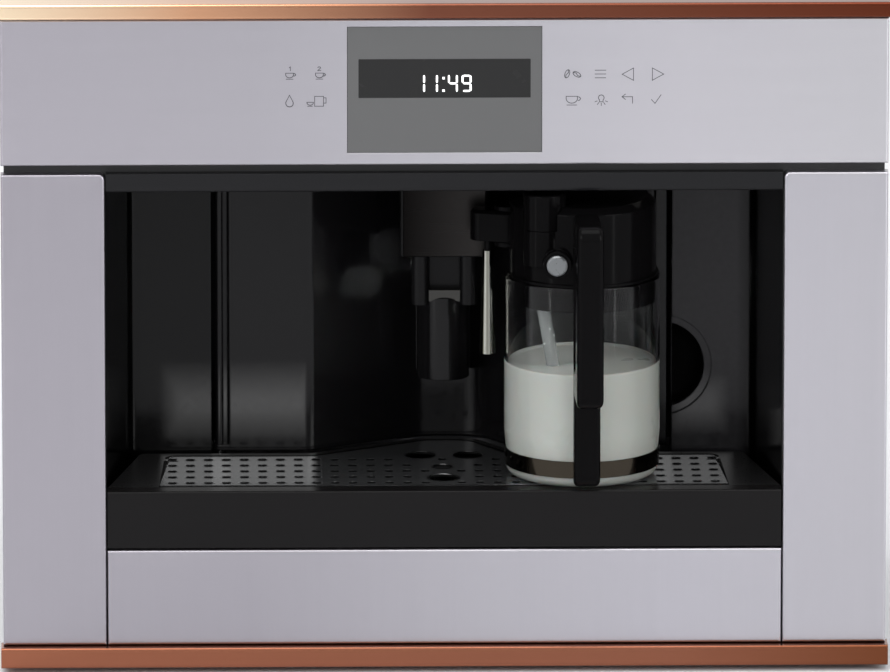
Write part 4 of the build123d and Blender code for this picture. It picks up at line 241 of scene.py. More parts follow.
def paint_light_along_x(nodes, links, place, tint, painted_light_stops):
    """Multiply a finish's tint by a colour that changes along X, which paints light and shade onto it."""
    low = painted_light_stops[0][0]
    high = painted_light_stops[-1][0]
    split = nodes.new("ShaderNodeSeparateXYZ")
    links.new(place.outputs["Object"], split.inputs["Vector"])
    share = nodes.new("ShaderNodeMapRange")
    share.inputs["From Min"].default_value = low
    share.inputs["From Max"].default_value = high
    links.new(split.outputs["X"], share.inputs["Value"])
    ramp = nodes.new("ShaderNodeValToRGB")
    while len(ramp.color_ramp.elements) < len(painted_light_stops):
        ramp.color_ramp.elements.new(0.5)
    for stop, (x, colour) in zip(ramp.color_ramp.elements, painted_light_stops):
        stop.position = (x - low) / (high - low)
        stop.color = (*colour, 1.0)
    links.new(share.outputs["Result"], ramp.inputs["Fac"])
    product = nodes.new("ShaderNodeMix")
    product.data_type = "RGBA"
    product.blend_type = "MULTIPLY"
    product.inputs["Factor"].default_value = 1.0
    links.new(ramp.outputs["Color"], product.inputs["A"])
    links.new(tint.outputs["Result"], product.inputs["B"])
    return product.outputs["Result"]


def dress(finish, *names):
    """Give CAD nodes a finish."""
    for name in names:
        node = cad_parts[name]
        for place in node.material_slots:
            place.material = finish


zinc = finish_of("zinc_coat", (0.47, 0.48, 0.49), 0.34, metallic=1.0, grain=90.0, mottle=0.09, wear=0.2)
dress(zinc, "rail_outer_left", "rail_outer_right", "rail_middle_left", "rail_middle_right")
dress(zinc, "rail_inner_left", "rail_inner_right")


# ---- Housing
# The box behind the front is folded from zinc-coated sheet: a base, two side panels, a back
# panel and a top cover, with slots for air. Cross-head screws hold the cover and the back, and
# a bare foil plate is stuck to the back.
sheet_zinc = finish_of("zinc_sheet", (0.36, 0.37, 0.38), 0.5, metallic=0.85, grain=110.0,
                       mottle=0.12, wear=0.08, specular=0.3)
dress(sheet_zinc, "chassis_base", "side_panel_left", "side_panel_right", "back_panel", "top_cover")
screw_zinc = finish_of("screw_zinc", (0.55, 0.55, 0.56), 0.3, metallic=1.0, grain=900.0)
dress(screw_zinc, "housing_screws")
back_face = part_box("back_panel")[1].y


def rounded_corners(left, right, low, high, radius):
    """The outline of an upright rectangle with rounded corners, in millimetres."""
    corners = []
    for x, z, start in ((right, high, 0), (left, high, 90), (left, low, 180), (right, low, 270)):
        for step in range(5):
            angle = (start + 22.5 * step) * pi / 180
            corners.append((x + radius * cos(angle), z + radius * sin(angle)))
    return corners


def bare_plate(shape):
    """A bare foil plate with rounded corners, stuck to the back panel."""
    corners = rounded_corners(-172, -108, 122, 168, 3)
    shape.faces.new([shape.verts.new((x / 1000, back_face + 0.00004, z / 1000)) for x, z in corners[::-1]])


foil = finish_of("plate_foil", (0.58, 0.59, 0.60), 0.4, metallic=0.5, grain=500.0, mottle=0.04)
plate = new_piece("bare_plate", bare_plate, foil)
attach(plate, "appliance")


# ---- Front frame
# One black moulding behind the steel panels carries everything on the front: glass-filled
# plastic with a fine sparked texture. The display's holder is moulded in the same plastic.
frame_plastic = finish_of("frame_plastic", (0.018, 0.018, 0.019), 0.5, grain=1500.0, relief=0.00003)
dress(frame_plastic, "front_frame", "display_module")
board_green = finish_of("board_green", (0.02, 0.12, 0.05), 0.35, grain=600.0, mottle=0.2)
dress(board_green, "touch_board", "power_board")


# ---- Steel panels
# The control panel, the two columns and the lower panel are folded from satin stainless sheet,
# 1.2 mm thick, brushed along its length and hooked onto the frame.
# The panel's colour is painted darker at the left and lighter towards the right: a painted reflection.
satin_steel = finish_of("satin_steel", (1.0, 1.0, 1.0), 0.34, metallic=1.0, grain=260.0,
                        stretch=(0.03, 1.0, 1.6), mottle=0.02, wear=0.08, relief=0.000002, edge=0.0009,
                        painted_light_stops=((-0.3, (0.42, 0.40, 0.44)), (-0.13, (0.435, 0.42, 0.455)),
                                (0.03, (0.50, 0.49, 0.525)), (0.16, (0.555, 0.54, 0.575)),
                                (0.3, (0.545, 0.535, 0.56))))
dress(satin_steel, "control_panel")
# The columns and the lower panel take a slightly darker copy of the same steel: painted shade, with the same
# painted reflection from left to right.
column_steel_painted_shade = finish_of("column_steel_painted_shade", (0.955, 0.95, 0.955), 0.34, metallic=1.0, grain=260.0,
                         stretch=(1.6, 1.0, 0.03), mottle=0.02, wear=0.08, relief=0.000002, edge=0.0009,
                         painted_light_stops=((-0.3, (0.38, 0.363, 0.398)), (-0.13, (0.395, 0.38, 0.415)),
                                 (0.03, (0.475, 0.465, 0.50)), (0.16, (0.51, 0.50, 0.54)),
                                 (0.3, (0.50, 0.49, 0.52))))
dress(column_steel_painted_shade, "column_left", "column_right", "lower_panel")


# ---- Copper-coloured trims
# A polished bar edges the front at the top and at the bottom: an aluminium profile with a
# copper-coloured anodised coat, clipped over the frame.
# The top bar's colour is painted from bright peach at the left to dark brown at the right: a painted
# reflection.
top_copper_painted_reflection = finish_of("top_copper_painted_reflection", (1.0, 1.0, 1.0), 0.16, metallic=1.0, grain=120.0,
                         stretch=(0.02, 1.0, 1.0), mottle=0.03, wear=0.15, edge=0.0012,
                         painted_light_stops=((-0.3, (1.0, 0.80, 0.56)), (-0.17, (0.67, 0.36, 0.21)),
                                 (-0.01, (0.20, 0.072, 0.044)), (0.3, (0.13, 0.032, 0.016))))
dress(top_copper_painted_reflection, "trim_top")
# The bottom bar is a darker copy of the same copper, darker still at its right end: painted shade.
bottom_copper_painted_shade = finish_of("bottom_copper_painted_shade", (1.0, 1.0, 1.0), 0.2, metallic=1.0, grain=120.0,
                        stretch=(0.02, 1.0, 1.0), mottle=0.03, wear=0.15, edge=0.0012,
                        painted_light_stops=((-0.3, (0.32, 0.118, 0.067)), (0.15, (0.275, 0.105, 0.062)),
                                (0.3, (0.175, 0.058, 0.026))))
dress(bottom_copper_painted_shade, "trim_bottom")


# ---- Display
# A grey glass lies flush in the control panel over the display, which shows the time in white
# bars. The glass is printed grey from behind, with a clear field for the display.
grey_glass = finish_of("grey_glass", (0.126, 0.126, 0.126), 0.22, grain=40.0, mottle=0.015, wear=0.1,
                       specular=0.15)
dress(grey_glass, "display_window")
glass_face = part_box("display_window")[0].y


def flat_bars(shape, bars, depth):
    """Flat polygons parallel to the front, from lists of (x, z) in millimetres."""
    for bar in bars:
        shape.faces.new([shape.verts.new((x / 1000, depth, z / 1000)) for x, z in bar])


def display_field(shape):
    """The dark field, slightly rounded at its corners."""
    flat_bars(shape, [rounded_corners(-57.2, 57.2, 390.6, 416.5, 0.3)[::-1]], glass_face - 0.00003)


dark_field = finish_of("display_dark", (0.027, 0.027, 0.027), 0.25, grain=60.0, mottle=0.03, specular=0.08)
field = new_piece("display_field", display_field, dark_field)
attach(field, "appliance")

digit_bar = 1.3
digit_bottom = 394.3
digit_height = 11.6


def upright_bar(x, low, high):
    """An upright bar with pointed ends."""
    half = digit_bar / 2
    return [(x - half, low + half), (x, low), (x + half, low + half),
            (x + half, high - half), (x, high), (x - half, high - half)]


def level_bar(z, left, right):
    """A level bar with pointed ends."""
    half = digit_bar / 2
    return [(left, z), (left + half, z - half), (right - half, z - half),
            (right, z), (right - half, z + half), (left + half, z + half)]


def time_bars():
    """The bars of 11:49."""
    low = digit_bottom
    mid = digit_bottom + digit_height / 2
    high = digit_bottom + digit_height
    bars = []
    for x in (-13.7, -5.1):
        bars += [upright_bar(x, low, mid - 0.3), upright_bar(x, mid + 0.3, high)]
    for z in (low + 0.9, high - 2.2):
        bars.append([(-1.5, z - 0.8), (0.1, z - 0.8), (0.1, z + 0.8), (-1.5, z + 0.8)])
    bars += [upright_bar(2.9, mid + 0.2, high), level_bar(mid, 3.2, 7.9)]
    bars += [upright_bar(8.2, low, mid - 0.2), upright_bar(8.2, mid + 0.2, high)]
    bars += [upright_bar(12.0, mid + 0.2, high - 0.3)]
    bars += [level_bar(z, 12.2, 17.2) for z in (mid, high - 0.6, low + 0.65)]
    return bars + [upright_bar(17.4, low + 0.4, mid - 0.2), upright_bar(17.4, mid + 0.2, high - 0.3)]


lit_white = finish_of("lit_white", (0.9, 0.9, 0.9), 0.4, grain=1500.0, mottle=0.04)
lit_shader = lit_white.node_tree.nodes["Principled BSDF"]
lit_shader.inputs["Emission Color"].default_value = (1.0, 1.0, 1.0, 1.0)
lit_shader.inputs["Emission Strength"].default_value = 0.9
digits = new_piece("display_time", lambda shape: flat_bars(shape, time_bars(), glass_face - 0.00006),
                   lit_white)
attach(digits, "appliance")


# ---- Touch symbols
# Twelve generic symbols are printed in thin grey lines on the control panel: four at the left
# of the display and eight at its right. A finger is sensed through the thinned sheet behind them.
stroke = 0.5


def strokes(points, close=False):
    """Flat bars that draw a line through points, each lengthened to meet the next."""
    bars = []
    ends = points[1:] + points[:1] if close else points[1:]
    for (x0, z0), (x1, z1) in zip(points, ends):
        length = hypot(x1 - x0, z1 - z0)
        ux, uz = (x1 - x0) / length * stroke / 2, (z1 - z0) / length * stroke / 2
        bars.append([(x0 - ux + uz, z0 - uz - ux), (x1 + ux + uz, z1 + uz - ux),
                     (x1 + ux - uz, z1 + uz + ux), (x0 - ux - uz, z0 - uz + ux)])
    return bars


def arc(x, z, radius_x, radius_z, start, end, steps=14):
    """Points along part of an ellipse, angles in degrees."""
    angles = [(start + (end - start) * step / steps) * pi / 180 for step in range(steps + 1)]
    return [(x + radius_x * cos(angle), z + radius_z * sin(angle)) for angle in angles]


def cup_lines(x, z, size):
    """A cup with its handle on a saucer line."""
    side = arc(x, z + 0.6 * size, 2.6 * size, 2.2 * size, 180, 360)
    lines = strokes([(x - 2.6 * size, z + 1.6 * size)] + side + [(x + 2.6 * size, z + 1.6 * size)],
                    close=True)
    lines += strokes(arc(x + 2.7 * size, z + 0.5 * size, 1.3 * size, 0.9 * size, -80, 80, 6))
    return lines + strokes([(x - 2.2 * size, z - 2.5 * size), (x + 2.2 * size, z - 2.5 * size)])


def symbol_lines():
    """All the symbols, left group first."""
    lines = cup_lines(-103.5, 405.9, 1.0) + cup_lines(-83.6, 405.9, 1.0)
    lines += strokes([(-103.7, 411.2), (-103.0, 411.8), (-103.0, 409.2)])
    lines += strokes([(-84.6, 411.3), (-84.0, 411.8), (-83.0, 411.6), (-82.8, 411.0), (-84.7, 409.2),
                      (-82.7, 409.2)])
    lines += strokes([(-103.6, 392.4)] + arc(-103.6, 387.0, 2.5, 2.5, 30, -210, 16), close=True)
    lines += strokes([(-86.8, 391.6), (-80.9, 391.6), (-80.9, 384.9), (-86.8, 384.9)], close=True)
    lines += strokes([(-80.9, 390.6), (-79.2, 390.6), (-79.2, 387.0), (-80.9, 387.0)])
    lines += strokes(arc(-89.8, 387.6, 2.2, 2.0, 180, 360, 8), close=True)
    lines += strokes([(-91.4, 384.9), (-88.4, 384.9)])
    for x, z, lean in ((81.9, 406.4, 70.0), (88.4, 406.0, 150.0)):
        cosine, sine = cos(lean * pi / 180), sin(lean * pi / 180)
        outline = [(x + u * cosine - v * sine, z + u * sine + v * cosine)
                   for u, v in arc(0, 0, 2.9, 1.5, 0, 350)]
        crease = [(x + u * cosine - v * sine, z + u * sine + v * cosine)
                  for u, v in ((-2.6, 0.0), (-1.0, 0.5), (1.0, -0.5), (2.6, 0.0))]
        lines += strokes(outline, close=True) + strokes(crease)
    for z in (403.6, 406.2, 408.8):
        lines += strokes([(100.6, z), (107.6, z)])
    lines += strokes([(126.2, 410.2), (118.6, 406.0), (126.2, 401.8)], close=True)
    lines += strokes([(138.8, 410.2), (146.4, 406.0), (138.8, 401.8)], close=True)
    lines += cup_lines(85.0, 388.7, 1.45)
    lines += strokes(arc(104.7, 390.0, 1.9, 1.9, -50, 230, 12))
    lines += strokes([(103.5, 388.5), (103.5, 387.2), (105.9, 387.2), (105.9, 388.5)])
    for angle in (200, 235, 270, 305, 340):
        cosine, sine = cos(angle * pi / 180), sin(angle * pi / 180)
        lines += strokes([(104.7 + 3.0 * cosine, 388.6 + 2.4 * sine),
                          (104.7 + 4.4 * cosine, 388.6 + 3.9 * sine)])
    lines += strokes([(125.6, 386.2), (125.6, 390.6), (118.6, 390.6)])
    lines += strokes([(120.8, 392.4), (118.6, 390.6), (120.8, 388.8)])
    return lines + strokes([(138.3, 388.6), (140.6, 386.0), (144.6, 391.8)])


print_grey = finish_of("print_grey", (0.085, 0.085, 0.095), 0.5, grain=900.0, mottle=0.1)
print_face = steel_face - 0.00004
symbol_print = new_piece("touch_symbols", lambda shape: flat_bars(shape, symbol_lines(), print_face),
                         print_grey)
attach(symbol_print, "appliance")


# ---- Lip over the niche
# A dark anodised strip closes the gap over the niche and rolls under at its lower edge, so that
# light from above glances off it.
lip_grey = finish_of("lip_grey", (0.011, 0.011, 0.012), 0.24, grain=300.0,
                     stretch=(0.05, 1.0, 1.0), mottle=0.08, specular=0.15, edge=0.0012)
dress(lip_grey, "lip_strip")


# ---- Niche lining and lamps
# A deep-drawn black lining in high-gloss plastic makes the niche: drafted walls, a ceiling with
# two round lamps, the jambs of the doorway and a half-moon scoop for the fingers.
# The lining's colour is painted very dark at the left and in narrow strips at both side ends, and lighter
# towards the right: painted shade and light.
niche_black = finish_of("niche_black", (0.045, 0.043, 0.046), 0.16, grain=220.0, mottle=0.2, wear=0.3,
                        specular=0.16, edge=0.0012,
                        painted_light_stops=((-0.21, (0.01, 0.01, 0.01)), (-0.2, (0.045, 0.045, 0.045)),
                                (0.0, (0.11, 0.11, 0.11)), (0.15, (0.9, 0.9, 0.9)), (0.2, (1.0, 1.0, 1.0)),
                                (0.21, (0.02, 0.02, 0.02))))
dress(niche_black, "niche_liner")
lens = finish_of("lamp_lens", (0.55, 0.55, 0.52), 0.3, grain=700.0, relief=0.00005)
lens_shader = lens.node_tree.nodes["Principled BSDF"]
lens_shader.inputs["Emission Color"].default_value = (1.0, 0.97, 0.9, 1.0)
lens_shader.inputs["Emission Strength"].default_value = 0.5
dress(lens, "niche_lamps")


panels = 6
panel_gap = 0.0004
low_spread = 60.0


def low_light(name, x, width, z, height, depth, towards, radiance, grow):
    """A low lamp with soft edges: panels one behind another, each larger than the last by grow."""
    for step in range(panels):
        wide = width + grow[0] * (step - (panels - 1) / 2)
        high = height + grow[1] * (step - (panels - 1) / 2)
        place = (x, steel_face + depth + panel_gap * step, z)
        aim = (x, steel_face + depth + towards, z)
        strength = pi * wide * high * radiance / panels
        hang_lamp(name + str(step), place, aim, wide, high, strength, only_gloss=True, spread=low_spread)


wall_light_depth = 0.075
tray_light_depth = 0.1165
low_light("wall_light_left", -0.136, 0.096, 0.1425, 0.036, wall_light_depth, 1.0, 0.56, (0.005, 0.009))
low_light("wall_light_right", 0.176, 0.030, 0.1425, 0.026, wall_light_depth, 1.0, 0.4, (0.004, 0.006))
low_light("tray_light_left", -0.139, 0.104, 0.1345, 0.026, tray_light_depth, -1.0, 0.08, (0.002, 0.001))
low_light("tray_light_right", 0.168, 0.060, 0.1345, 0.026, tray_light_depth, -1.0, 0.053, (0.003, 0.001))
scoop_centre = (0.1568, 0.179)
scoop_width = 0.0215
scoop_height = 0.0285


def scoop_shade_bowl(shape):
    """A matte black half-moon bowl at the back of the scoop: painted shade that makes the scoop look deep
    and black.
    """
    rings = []
    for share, depth in ((0.0, 0.1355), (0.5, 0.1352), (0.8, 0.1335), (0.93, 0.130), (0.965, 0.126)):
        ring = []
        for step in range(25):
            angle = -pi / 2 + pi * step / 24
            x = scoop_centre[0] + scoop_width * share * cos(angle)
            z = scoop_centre[1] + scoop_height * share * sin(angle)
            ring.append(shape.verts.new((x, steel_face + depth, z)))
        rings.append(ring)
    for near, far in zip(rings, rings[1:]):
        for step in range(24):
            shape.faces.new((near[step], near[step + 1], far[step + 1], far[step])).smooth = True
    bmesh.ops.remove_doubles(shape, verts=shape.verts, dist=0.00001)


# Near black and matte: painted shade inside the scoop.
scoop_painted_shade = finish_of("scoop_painted_shade", (0.0012, 0.0012, 0.0013), 0.6, grain=700.0, mottle=0.2, specular=0.03)
bowl = new_piece("scoop_shade_bowl", scoop_shade_bowl, scoop_painted_shade)
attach(bowl, "appliance")


# ---- Service door
# The middle of the rear wall is a door in the same black plastic, with a trough for the cups
# and a round column below the outlet. It swings on two steel pins at its left edge.
door_black = finish_of("door_black", (0.0048, 0.0045, 0.005), 0.16, grain=220.0, mottle=0.2, wear=0.3,
                       specular=0.2, edge=0.0012)
dress(door_black, "service_door")
ground_steel = finish_of("ground_steel", (0.62, 0.62, 0.63), 0.18, metallic=1.0, grain=800.0)
dress(ground_steel, "door_hinge_pins", "steam_nozzle")


# ---- Coffee outlet
# The outlet slides up and down on the door: a moulded black body with two nozzles, a satin metal plate
# on its front and a bright bridge between the nozzles.
outlet_black = finish_of("outlet_black", (0.006, 0.0058, 0.0062), 0.24, grain=500.0, mottle=0.15,
                         specular=0.11, edge=0.0015)
dress(outlet_black, "spout_carriage")
# The plate's colour is painted almost black at the left and lighter towards the right: a painted reflection.
plate_metal = finish_of("plate_metal", (1.0, 1.0, 1.0), 0.3, metallic=1.0, grain=400.0,
                        stretch=(0.05, 1.0, 1.0), mottle=0.05, edge=0.0008,
                        painted_light_stops=((-0.027, (0.005, 0.0045, 0.0044)), (0.03, (0.03, 0.028, 0.027))))
dress(plate_metal, "dispenser_plate")
bridge_steel = finish_of("bridge_steel", (0.05, 0.049, 0.046), 0.2, metallic=1.0, grain=300.0, edge=0.0008)
dress(bridge_steel, "spout_bridge")


# ---- Milk jug
# A clear pressed glass with a thick rounded foot stands on the grille, filled to its middle. A
# dark chrome band is pushed on over the foot. The black lid in glossy plastic carries the froth
# knob, the round button, the milk outlet and the slanting tube.
jug_low, jug_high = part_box("jug_glass")
jug_centre = ((jug_low.x + jug_high.x) / 2, (jug_low.y + jug_high.y) / 2)
jug_floor = jug_low.z * 1000
jug_height = (jug_high.z - jug_low.z) * 1000
milk_level = (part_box("milk_fill")[1].z - jug_low.z) * 1000


def lathe(shape, outline, turns=128, centre=(0.0, 0.0)):
    """A closed round shape from an outline of (radius, height), millimetres about a centre in metres."""
    rings = []
    for radius, height in outline:
        if radius < 0.001:
            rings.append([shape.verts.new((centre[0], centre[1], height / 1000))])
            continue
        ring = []
        for step in range(turns):
            angle = 2 * pi * step / turns
            ring.append(shape.verts.new((centre[0] + radius / 1000 * cos(angle),
                                         centre[1] + radius / 1000 * sin(angle), height / 1000)))
        rings.append(ring)
    for low, high in zip(rings, rings[1:]):
        for step in range(turns):
            after = (step + 1) % turns
            if len(low) == 1:
                face = (low[0], high[after], high[step])
            elif len(high) == 1:
                face = (low[step], low[after], high[0])
            else:
                face = (low[step], low[after], high[after], high[step])
            shape.faces.new(face).smooth = True


foot_radius = 51.5
wall_radius = 52.5
wall = 2.5


def quarter(radius, height, corner, steps=6):
    """A rounded corner of the foot, from flat below to upright, as (radius, height)."""
    points = []
    for step in range(steps + 1):
        angle = pi / 2 * step / steps
        points.append((radius - corner + corner * sin(angle), height + corner - corner * cos(angle)))
    return points


def jug_side(inset, corner, base):
    """The side of the jug from the foot to the shoulder, inset by the wall."""
    low = foot_radius - inset
    high = wall_radius - inset
    side = quarter(low, base, corner) + [(low, base + corner + 1.0), (low, 17.5), (low, 19.0)]
    return side + [(low + 0.2, 22.0), (low + 0.5, 25.0), (low + 0.8, 28.0), (high, 31.0), (high, 32.5)]


def pressed_glass(shape):
    """The glass with its thick foot and its fire-polished rim."""
    inner = wall_radius - wall
    rim = [(wall_radius, jug_height - 2.0), (wall_radius, jug_height - 1.0)]
    rim += [(wall_radius - 0.4, jug_height - 0.2), (wall_radius - wall / 2, jug_height)]
    rim += [(inner + 0.4, jug_height - 0.2)]
    rim += [(inner, jug_height - 1.0), (inner, jug_height - 2.0)]
    outline = [(0, 0.6), (38.5, 0.6), (40.0, 0.6), (41.5, 0.0)] + jug_side(0.0, 7.0, 0.0) + rim
    outline += jug_side(wall, 6.0, 4.0)[::-1] + [(41.0, 4.0), (0, 4.0)]
    lathe(shape, [(radius, jug_floor + height) for radius, height in outline], centre=jug_centre)


def milk_body(shape):
    """Milk that wets the glass and climbs a little up its wall."""
    outline = [(0, 1.2), (40.0, 1.2)] + quarter(50.3, 1.2, 6.5) + jug_side(2.3, 6.0, 3.8)[-7:]
    outline += [(50.2, milk_level - 1.0), (50.2, milk_level + 0.6), (49.4, milk_level - 0.2)]
    outline += [(48.0, milk_level - 0.8), (45.5, milk_level - 1.0), (44.0, milk_level - 1.0)]
    outline += [(0, milk_level - 1.0)]
    lathe(shape, [(radius, jug_floor + height) for radius, height in outline], centre=jug_centre)


clear_glass = finish_of("clear_glass", (0.965, 0.98, 0.975), 0.012, grain=25.0, mottle=0.01, wear=0.6)
clear_shader = clear_glass.node_tree.nodes["Principled BSDF"]
clear_shader.inputs["Transmission Weight"].default_value = 1.0
clear_shader.inputs["IOR"].default_value = 1.47
clear_shader.inputs["Specular IOR Level"].default_value = 0.02
clear_shader.inputs["Specular Tint"].default_value = (0.15, 0.15, 0.15, 1.0)
glass = new_piece("jug_glass_pressed", pressed_glass, clear_glass)
glass.visible_shadow = False
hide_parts("jug_glass")
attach(glass, "milk_jug")

# The milk's colour is painted lighter left of the middle and darker towards both sides, most at the right:
# painted shade.
milk_white = finish_of("milk_white", (0.47, 0.482, 0.455), 0.3, grain=30.0, mottle=0.01, specular=0.2,
                       painted_light_stops=((0.042, (0.85, 0.85, 0.85)), (0.0775, (1.0, 1.0, 1.0)),
                               (0.111, (0.74, 0.74, 0.73)), (0.146, (0.56, 0.56, 0.55))))
milk_shader = milk_white.node_tree.nodes["Principled BSDF"]
milk_shader.inputs["Subsurface Weight"].default_value = 0.15
milk_shader.inputs["Subsurface Scale"].default_value = 0.004
milk = new_piece("milk", milk_body, milk_white)
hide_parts("milk_fill")
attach(milk, "milk_jug")

band_chrome = finish_of("band_chrome", (0.045, 0.038, 0.029), 0.12, metallic=1.0, grain=150.0, mottle=0.04)
dress(band_chrome, "jug_band")
jug_black = finish_of("jug_black", (0.003, 0.0028, 0.003), 0.12, grain=350.0, mottle=0.15, wear=0.25,
                      specular=0.04, edge=0.0012)
dress(jug_black, "jug_lid", "jug_handle", "froth_knob", "milk_spout_arm")
tube_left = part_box("milk_spout_tube")[0].x
tube_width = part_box("milk_spout_tube")[1].x - tube_left
# Across the tube's width its colour is painted in upright bands, dark at the sides and bright near the
# middle: painted reflections and highlights.
tube_painted_reflections = [(0.0, (0.16, 0.15, 0.07)), (0.16, (0.3, 0.29, 0.17)), (0.3, (0.95, 0.95, 0.88)),
              (0.46, (0.5, 0.5, 0.43)), (0.62, (0.8, 0.8, 0.74)), (0.78, (0.2, 0.2, 0.18)),
              (1.0, (0.08, 0.08, 0.07))]
tube_chrome = finish_of("tube_chrome", (0.36, 0.36, 0.35), 0.12, metallic=1.0, grain=700.0, mottle=0.05,
                        painted_light_stops=[(tube_left + tube_width * share, tone) for share, tone in tube_painted_reflections])
dress(tube_chrome, "milk_spout_tube")
tube_clear = finish_of("tube_clear", (0.45, 0.47, 0.465), 0.22, grain=260.0, mottle=0.06, wear=0.3)
tube_clear.node_tree.nodes["Principled BSDF"].inputs["Transmission Weight"].default_value = 0.6
dress(tube_clear, "milk_intake_tube")
button_silver = finish_of("button_silver", (0.21, 0.22, 0.225), 0.3, metallic=0.6, grain=500.0, mottle=0.03,
                          edge=0.0008)
dress(button_silver, "clean_button")


# ---- Drip tray
# A moulded black basin with a deep fascia pulls out at the front. A dark steel grille lies in it, with
# rows of small pressed holes, three wells for the cups and a hole for the float.
fascia_black = finish_of("fascia_black", (0.0072, 0.0066, 0.0068), 0.22, grain=300.0, mottle=0.1,
                         specular=0.12, edge=0.001)
dress(fascia_black, "tray_fascia")
tray_black = finish_of("tray_black", (0.011, 0.0108, 0.011), 0.3, grain=500.0, mottle=0.15, specular=0.27,
                       edge=0.001)
dress(tray_black, "drip_tray", "level_float")
grille_steel = finish_of("grille_steel", (0.15, 0.153, 0.156), 0.2, metallic=0.8, grain=300.0,
                         stretch=(0.06, 1.0, 1.0), mottle=0.05, specular=0.2, edge=0.0007)
dress(grille_steel, "cup_grille")
grille_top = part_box("cup_grille")[1].z * 1000
first_row = 27.0
row_pitch = 16.7
column_pitch = 12.2
hole_rows = [first_row + row_pitch * row for row in range(5)]
hole_columns = [column_pitch * column for column in range(-15, 16)]
cup_wells = [(-14.5, 106.0), (17.5, 106.0), (0.0, 40.6)]
float_hole = (0.0, 72.4)
plain_reach = 17.0


def pressed_ring(shape, x, depth, profile, turns):
    """A ring about an upright axis, from a profile of (radius, height above the grille)."""
    outline = [(radius, grille_top + height) for radius, height in profile]
    lathe(shape, outline, turns, (x / 1000, steel_face + depth / 1000))


def hole_rims(shape):
    """The rolled rims of the small holes."""
    wells = cup_wells + [float_hole]
    profile = [(4.7, -0.05), (4.4, 0.06), (3.5, 0.06), (3.0, -0.12), (2.85, -0.3), (2.8, -1.5)]
    for depth in hole_rows:
        for x in hole_columns:
            if min(hypot(x - well_x, depth - well_depth) for well_x, well_depth in wells) > plain_reach:
                pressed_ring(shape, x, depth, profile, 20)
    # The walls below the grille's top take the painted shade.
    for face in shape.faces:
        if face.calc_center_median().z * 1000 < grille_top - 0.15:
            face.material_index = 1


def well_rims(shape):
    """The raised rims of the cup wells and of the float's hole."""
    for x, depth in cup_wells:
        profile = [(11.6, -0.05), (11.0, 0.28), (10.4, 0.32), (9.9, 0.0), (9.7, -1.5)]
        pressed_ring(shape, x, depth, profile, 56)
    profile = [(8.2, -0.05), (7.6, 0.28), (7.1, 0.3), (6.6, 0.0), (6.5, -1.5)]
    pressed_ring(shape, *float_hole, profile, 40)
    for face in shape.faces:
        # The walls below the grille's top take the painted shade.
        if face.calc_center_median().z * 1000 < grille_top - 0.1:
            face.material_index = 1


# Near black and matte: painted shade in the walls of the holes and in the gap round the grille.
painted_shade_black = finish_of("painted_shade_black", (0.002, 0.002, 0.002), 0.6, grain=900.0, mottle=0.2, specular=0.05)
small_rims = new_piece("hole_rims", hole_rims, grille_steel, painted_shade_black)
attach(small_rims, "drip_tray")
rim_steel = finish_of("rim_steel", (0.42, 0.42, 0.43), 0.2, metallic=1.0, grain=500.0, mottle=0.04)
large_rims = new_piece("well_rims", well_rims, rim_steel, painted_shade_black)
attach(large_rims, "drip_tray")


def grille_line():
    """The corners of the grille's outer edge, in order, read from the top of its solid."""
    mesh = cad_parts["cup_grille"].data
    level = grille_top / 1000 - 0.00005
    sides = {}
    for face in mesh.polygons:
        upright = abs(face.normal.z) < 0.1
        for key in face.edge_keys:
            if all(mesh.vertices[corner].co.z > level for corner in key):
                places = tuple(sorted(tuple(round(part, 5) for part in mesh.vertices[corner].co[:2])
                                      for corner in key))
                sides.setdefault(places, set()).add(upright)
    meets = {}
    for (one, other), kinds in sides.items():
        if True in kinds and one != other:
            meets.setdefault(one, []).append(other)
            meets.setdefault(other, []).append(one)
    start = min(meets)
    line = [start]
    came = None
    while True:
        here = line[-1]
        after = [place for place in meets[here] if place != came]
        came = here
        if not after or after[0] == start:
            return line
        line.append(after[0])


def ribbon(shape, line, profile):
    """A strip round the grille, from a profile of (distance outwards, height above the grille)."""
    count = len(line)
    pairs = [(line[i], line[(i + 1) % count]) for i in range(count)]
    turn = sum(here[0] * there[1] - there[0] * here[1] for here, there in pairs)
    side = 1 if turn > 0 else -1
    rings = []
    for i in range(count):
        before = Vector(line[i - 1])
        after = Vector(line[(i + 1) % count])
        along = (after - before).normalized()
        outward = Vector((along.y, -along.x)) * side
        ring = []
        for distance, height in profile:
            place = Vector(line[i]) + outward * distance / 1000
            ring.append(shape.verts.new((place.x, place.y, (grille_top + height) / 1000)))
        rings.append(ring)
    for i in range(count):
        near, far = rings[i], rings[(i + 1) % count]
        for step in range(len(profile) - 1):
            corners = (near[step], far[step], far[step + 1], near[step + 1])
            shape.faces.new(corners if side < 0 else corners[::-1]).smooth = True


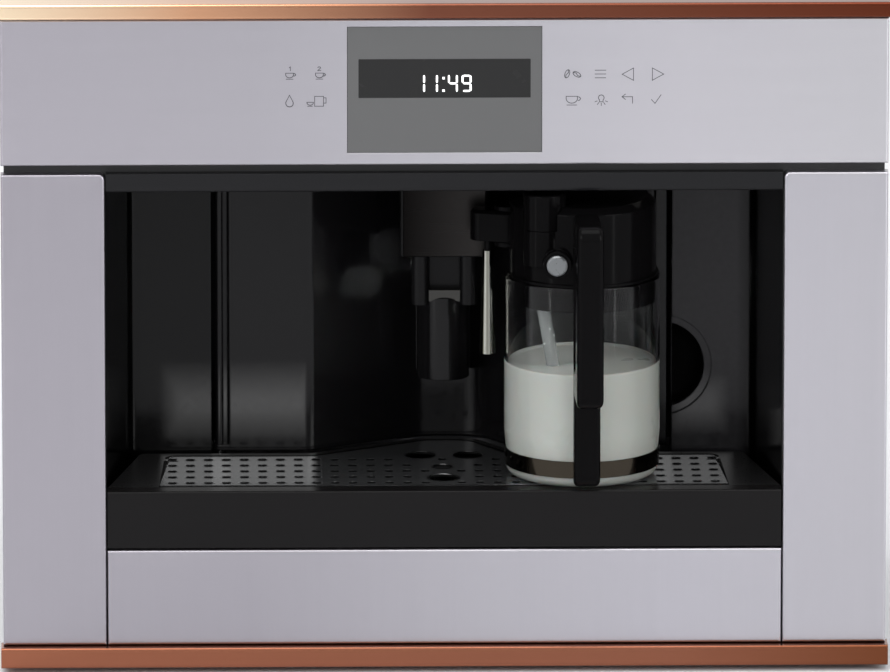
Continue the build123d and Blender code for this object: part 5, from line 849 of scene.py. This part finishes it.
edge_line = grille_line()
grille_bead = new_piece("grille_bead", lambda shape: ribbon(shape, edge_line, [
    (-1.5, -0.05), (-1.3, 0.15), (-0.8, 0.28), (-0.3, 0.15), (0.0, -0.1), (0.0, -0.8)]), rim_steel)
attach(grille_bead, "drip_tray")
# A dark strip on the tray's flange just outside the grille: painted shadow of the gap round the grille.
grille_gap_shade = new_piece("grille_gap_shade", lambda shape: ribbon(shape, edge_line, [
    (0.1, -0.3), (0.3, 0.04), (2.6, 0.04), (2.8, -0.1)]), painted_shade_black)
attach(grille_gap_shade, "drip_tray")


# ---- Hopper, chute and grinder
# A smoke-tinted bean hopper and a chute for ground coffee hang in the top cover under hinged
# lids. The grinder sits below the hopper, and its fluted knob stands above the cover.
smoke = finish_of("smoke_plastic", (0.03, 0.027, 0.024), 0.14, grain=200.0, mottle=0.1)
dress(smoke, "bean_hopper", "bean_lid", "powder_chute", "powder_lid")
knob_black = finish_of("knob_black", (0.02, 0.02, 0.02), 0.45, grain=1400.0, relief=0.00003)
dress(knob_black, "grind_knob", "grinder")


# ---- Service bay
# Behind the door a grey moulded bay holds the removable brew unit and the box for the spent
# coffee, both in plain engineering plastic.
bay_grey = finish_of("bay_grey", (0.045, 0.045, 0.048), 0.5, grain=900.0, relief=0.00003)
dress(bay_grey, "service_bay")
brew_grey = finish_of("brew_grey", (0.16, 0.16, 0.165), 0.42, grain=700.0, relief=0.00002)
dress(brew_grey, "brew_unit")
grounds_black = finish_of("grounds_black", (0.02, 0.02, 0.02), 0.5, grain=900.0, relief=0.00003)
dress(grounds_black, "grounds_container")


# ---- Water and heat
# The water tank lifts out of the top at the right. A finned cast heater and a solenoid pump
# stand behind the bay.
tank_tint = finish_of("tank_tint", (0.55, 0.62, 0.66), 0.14, grain=90.0, mottle=0.04, wear=0.35)
tank_tint.node_tree.nodes["Principled BSDF"].inputs["Transmission Weight"].default_value = 0.75
dress(tank_tint, "water_tank")
cast_metal = finish_of("cast_metal", (0.58, 0.58, 0.59), 0.5, metallic=1.0, grain=500.0, relief=0.00006,
                       mottle=0.08)
dress(cast_metal, "thermoblock")
passivated = finish_of("passivated", (0.42, 0.33, 0.14), 0.38, metallic=0.8, grain=200.0, mottle=0.12)
dress(passivated, "water_pump")


# ---- Power inlet
# An appliance inlet with the main switch above it is screwed to the back panel. No lead is
# plugged in.
inlet_black = finish_of("inlet_black", (0.016, 0.016, 0.016), 0.42, grain=1200.0, relief=0.00002)
dress(inlet_black, "power_inlet", "main_switch")
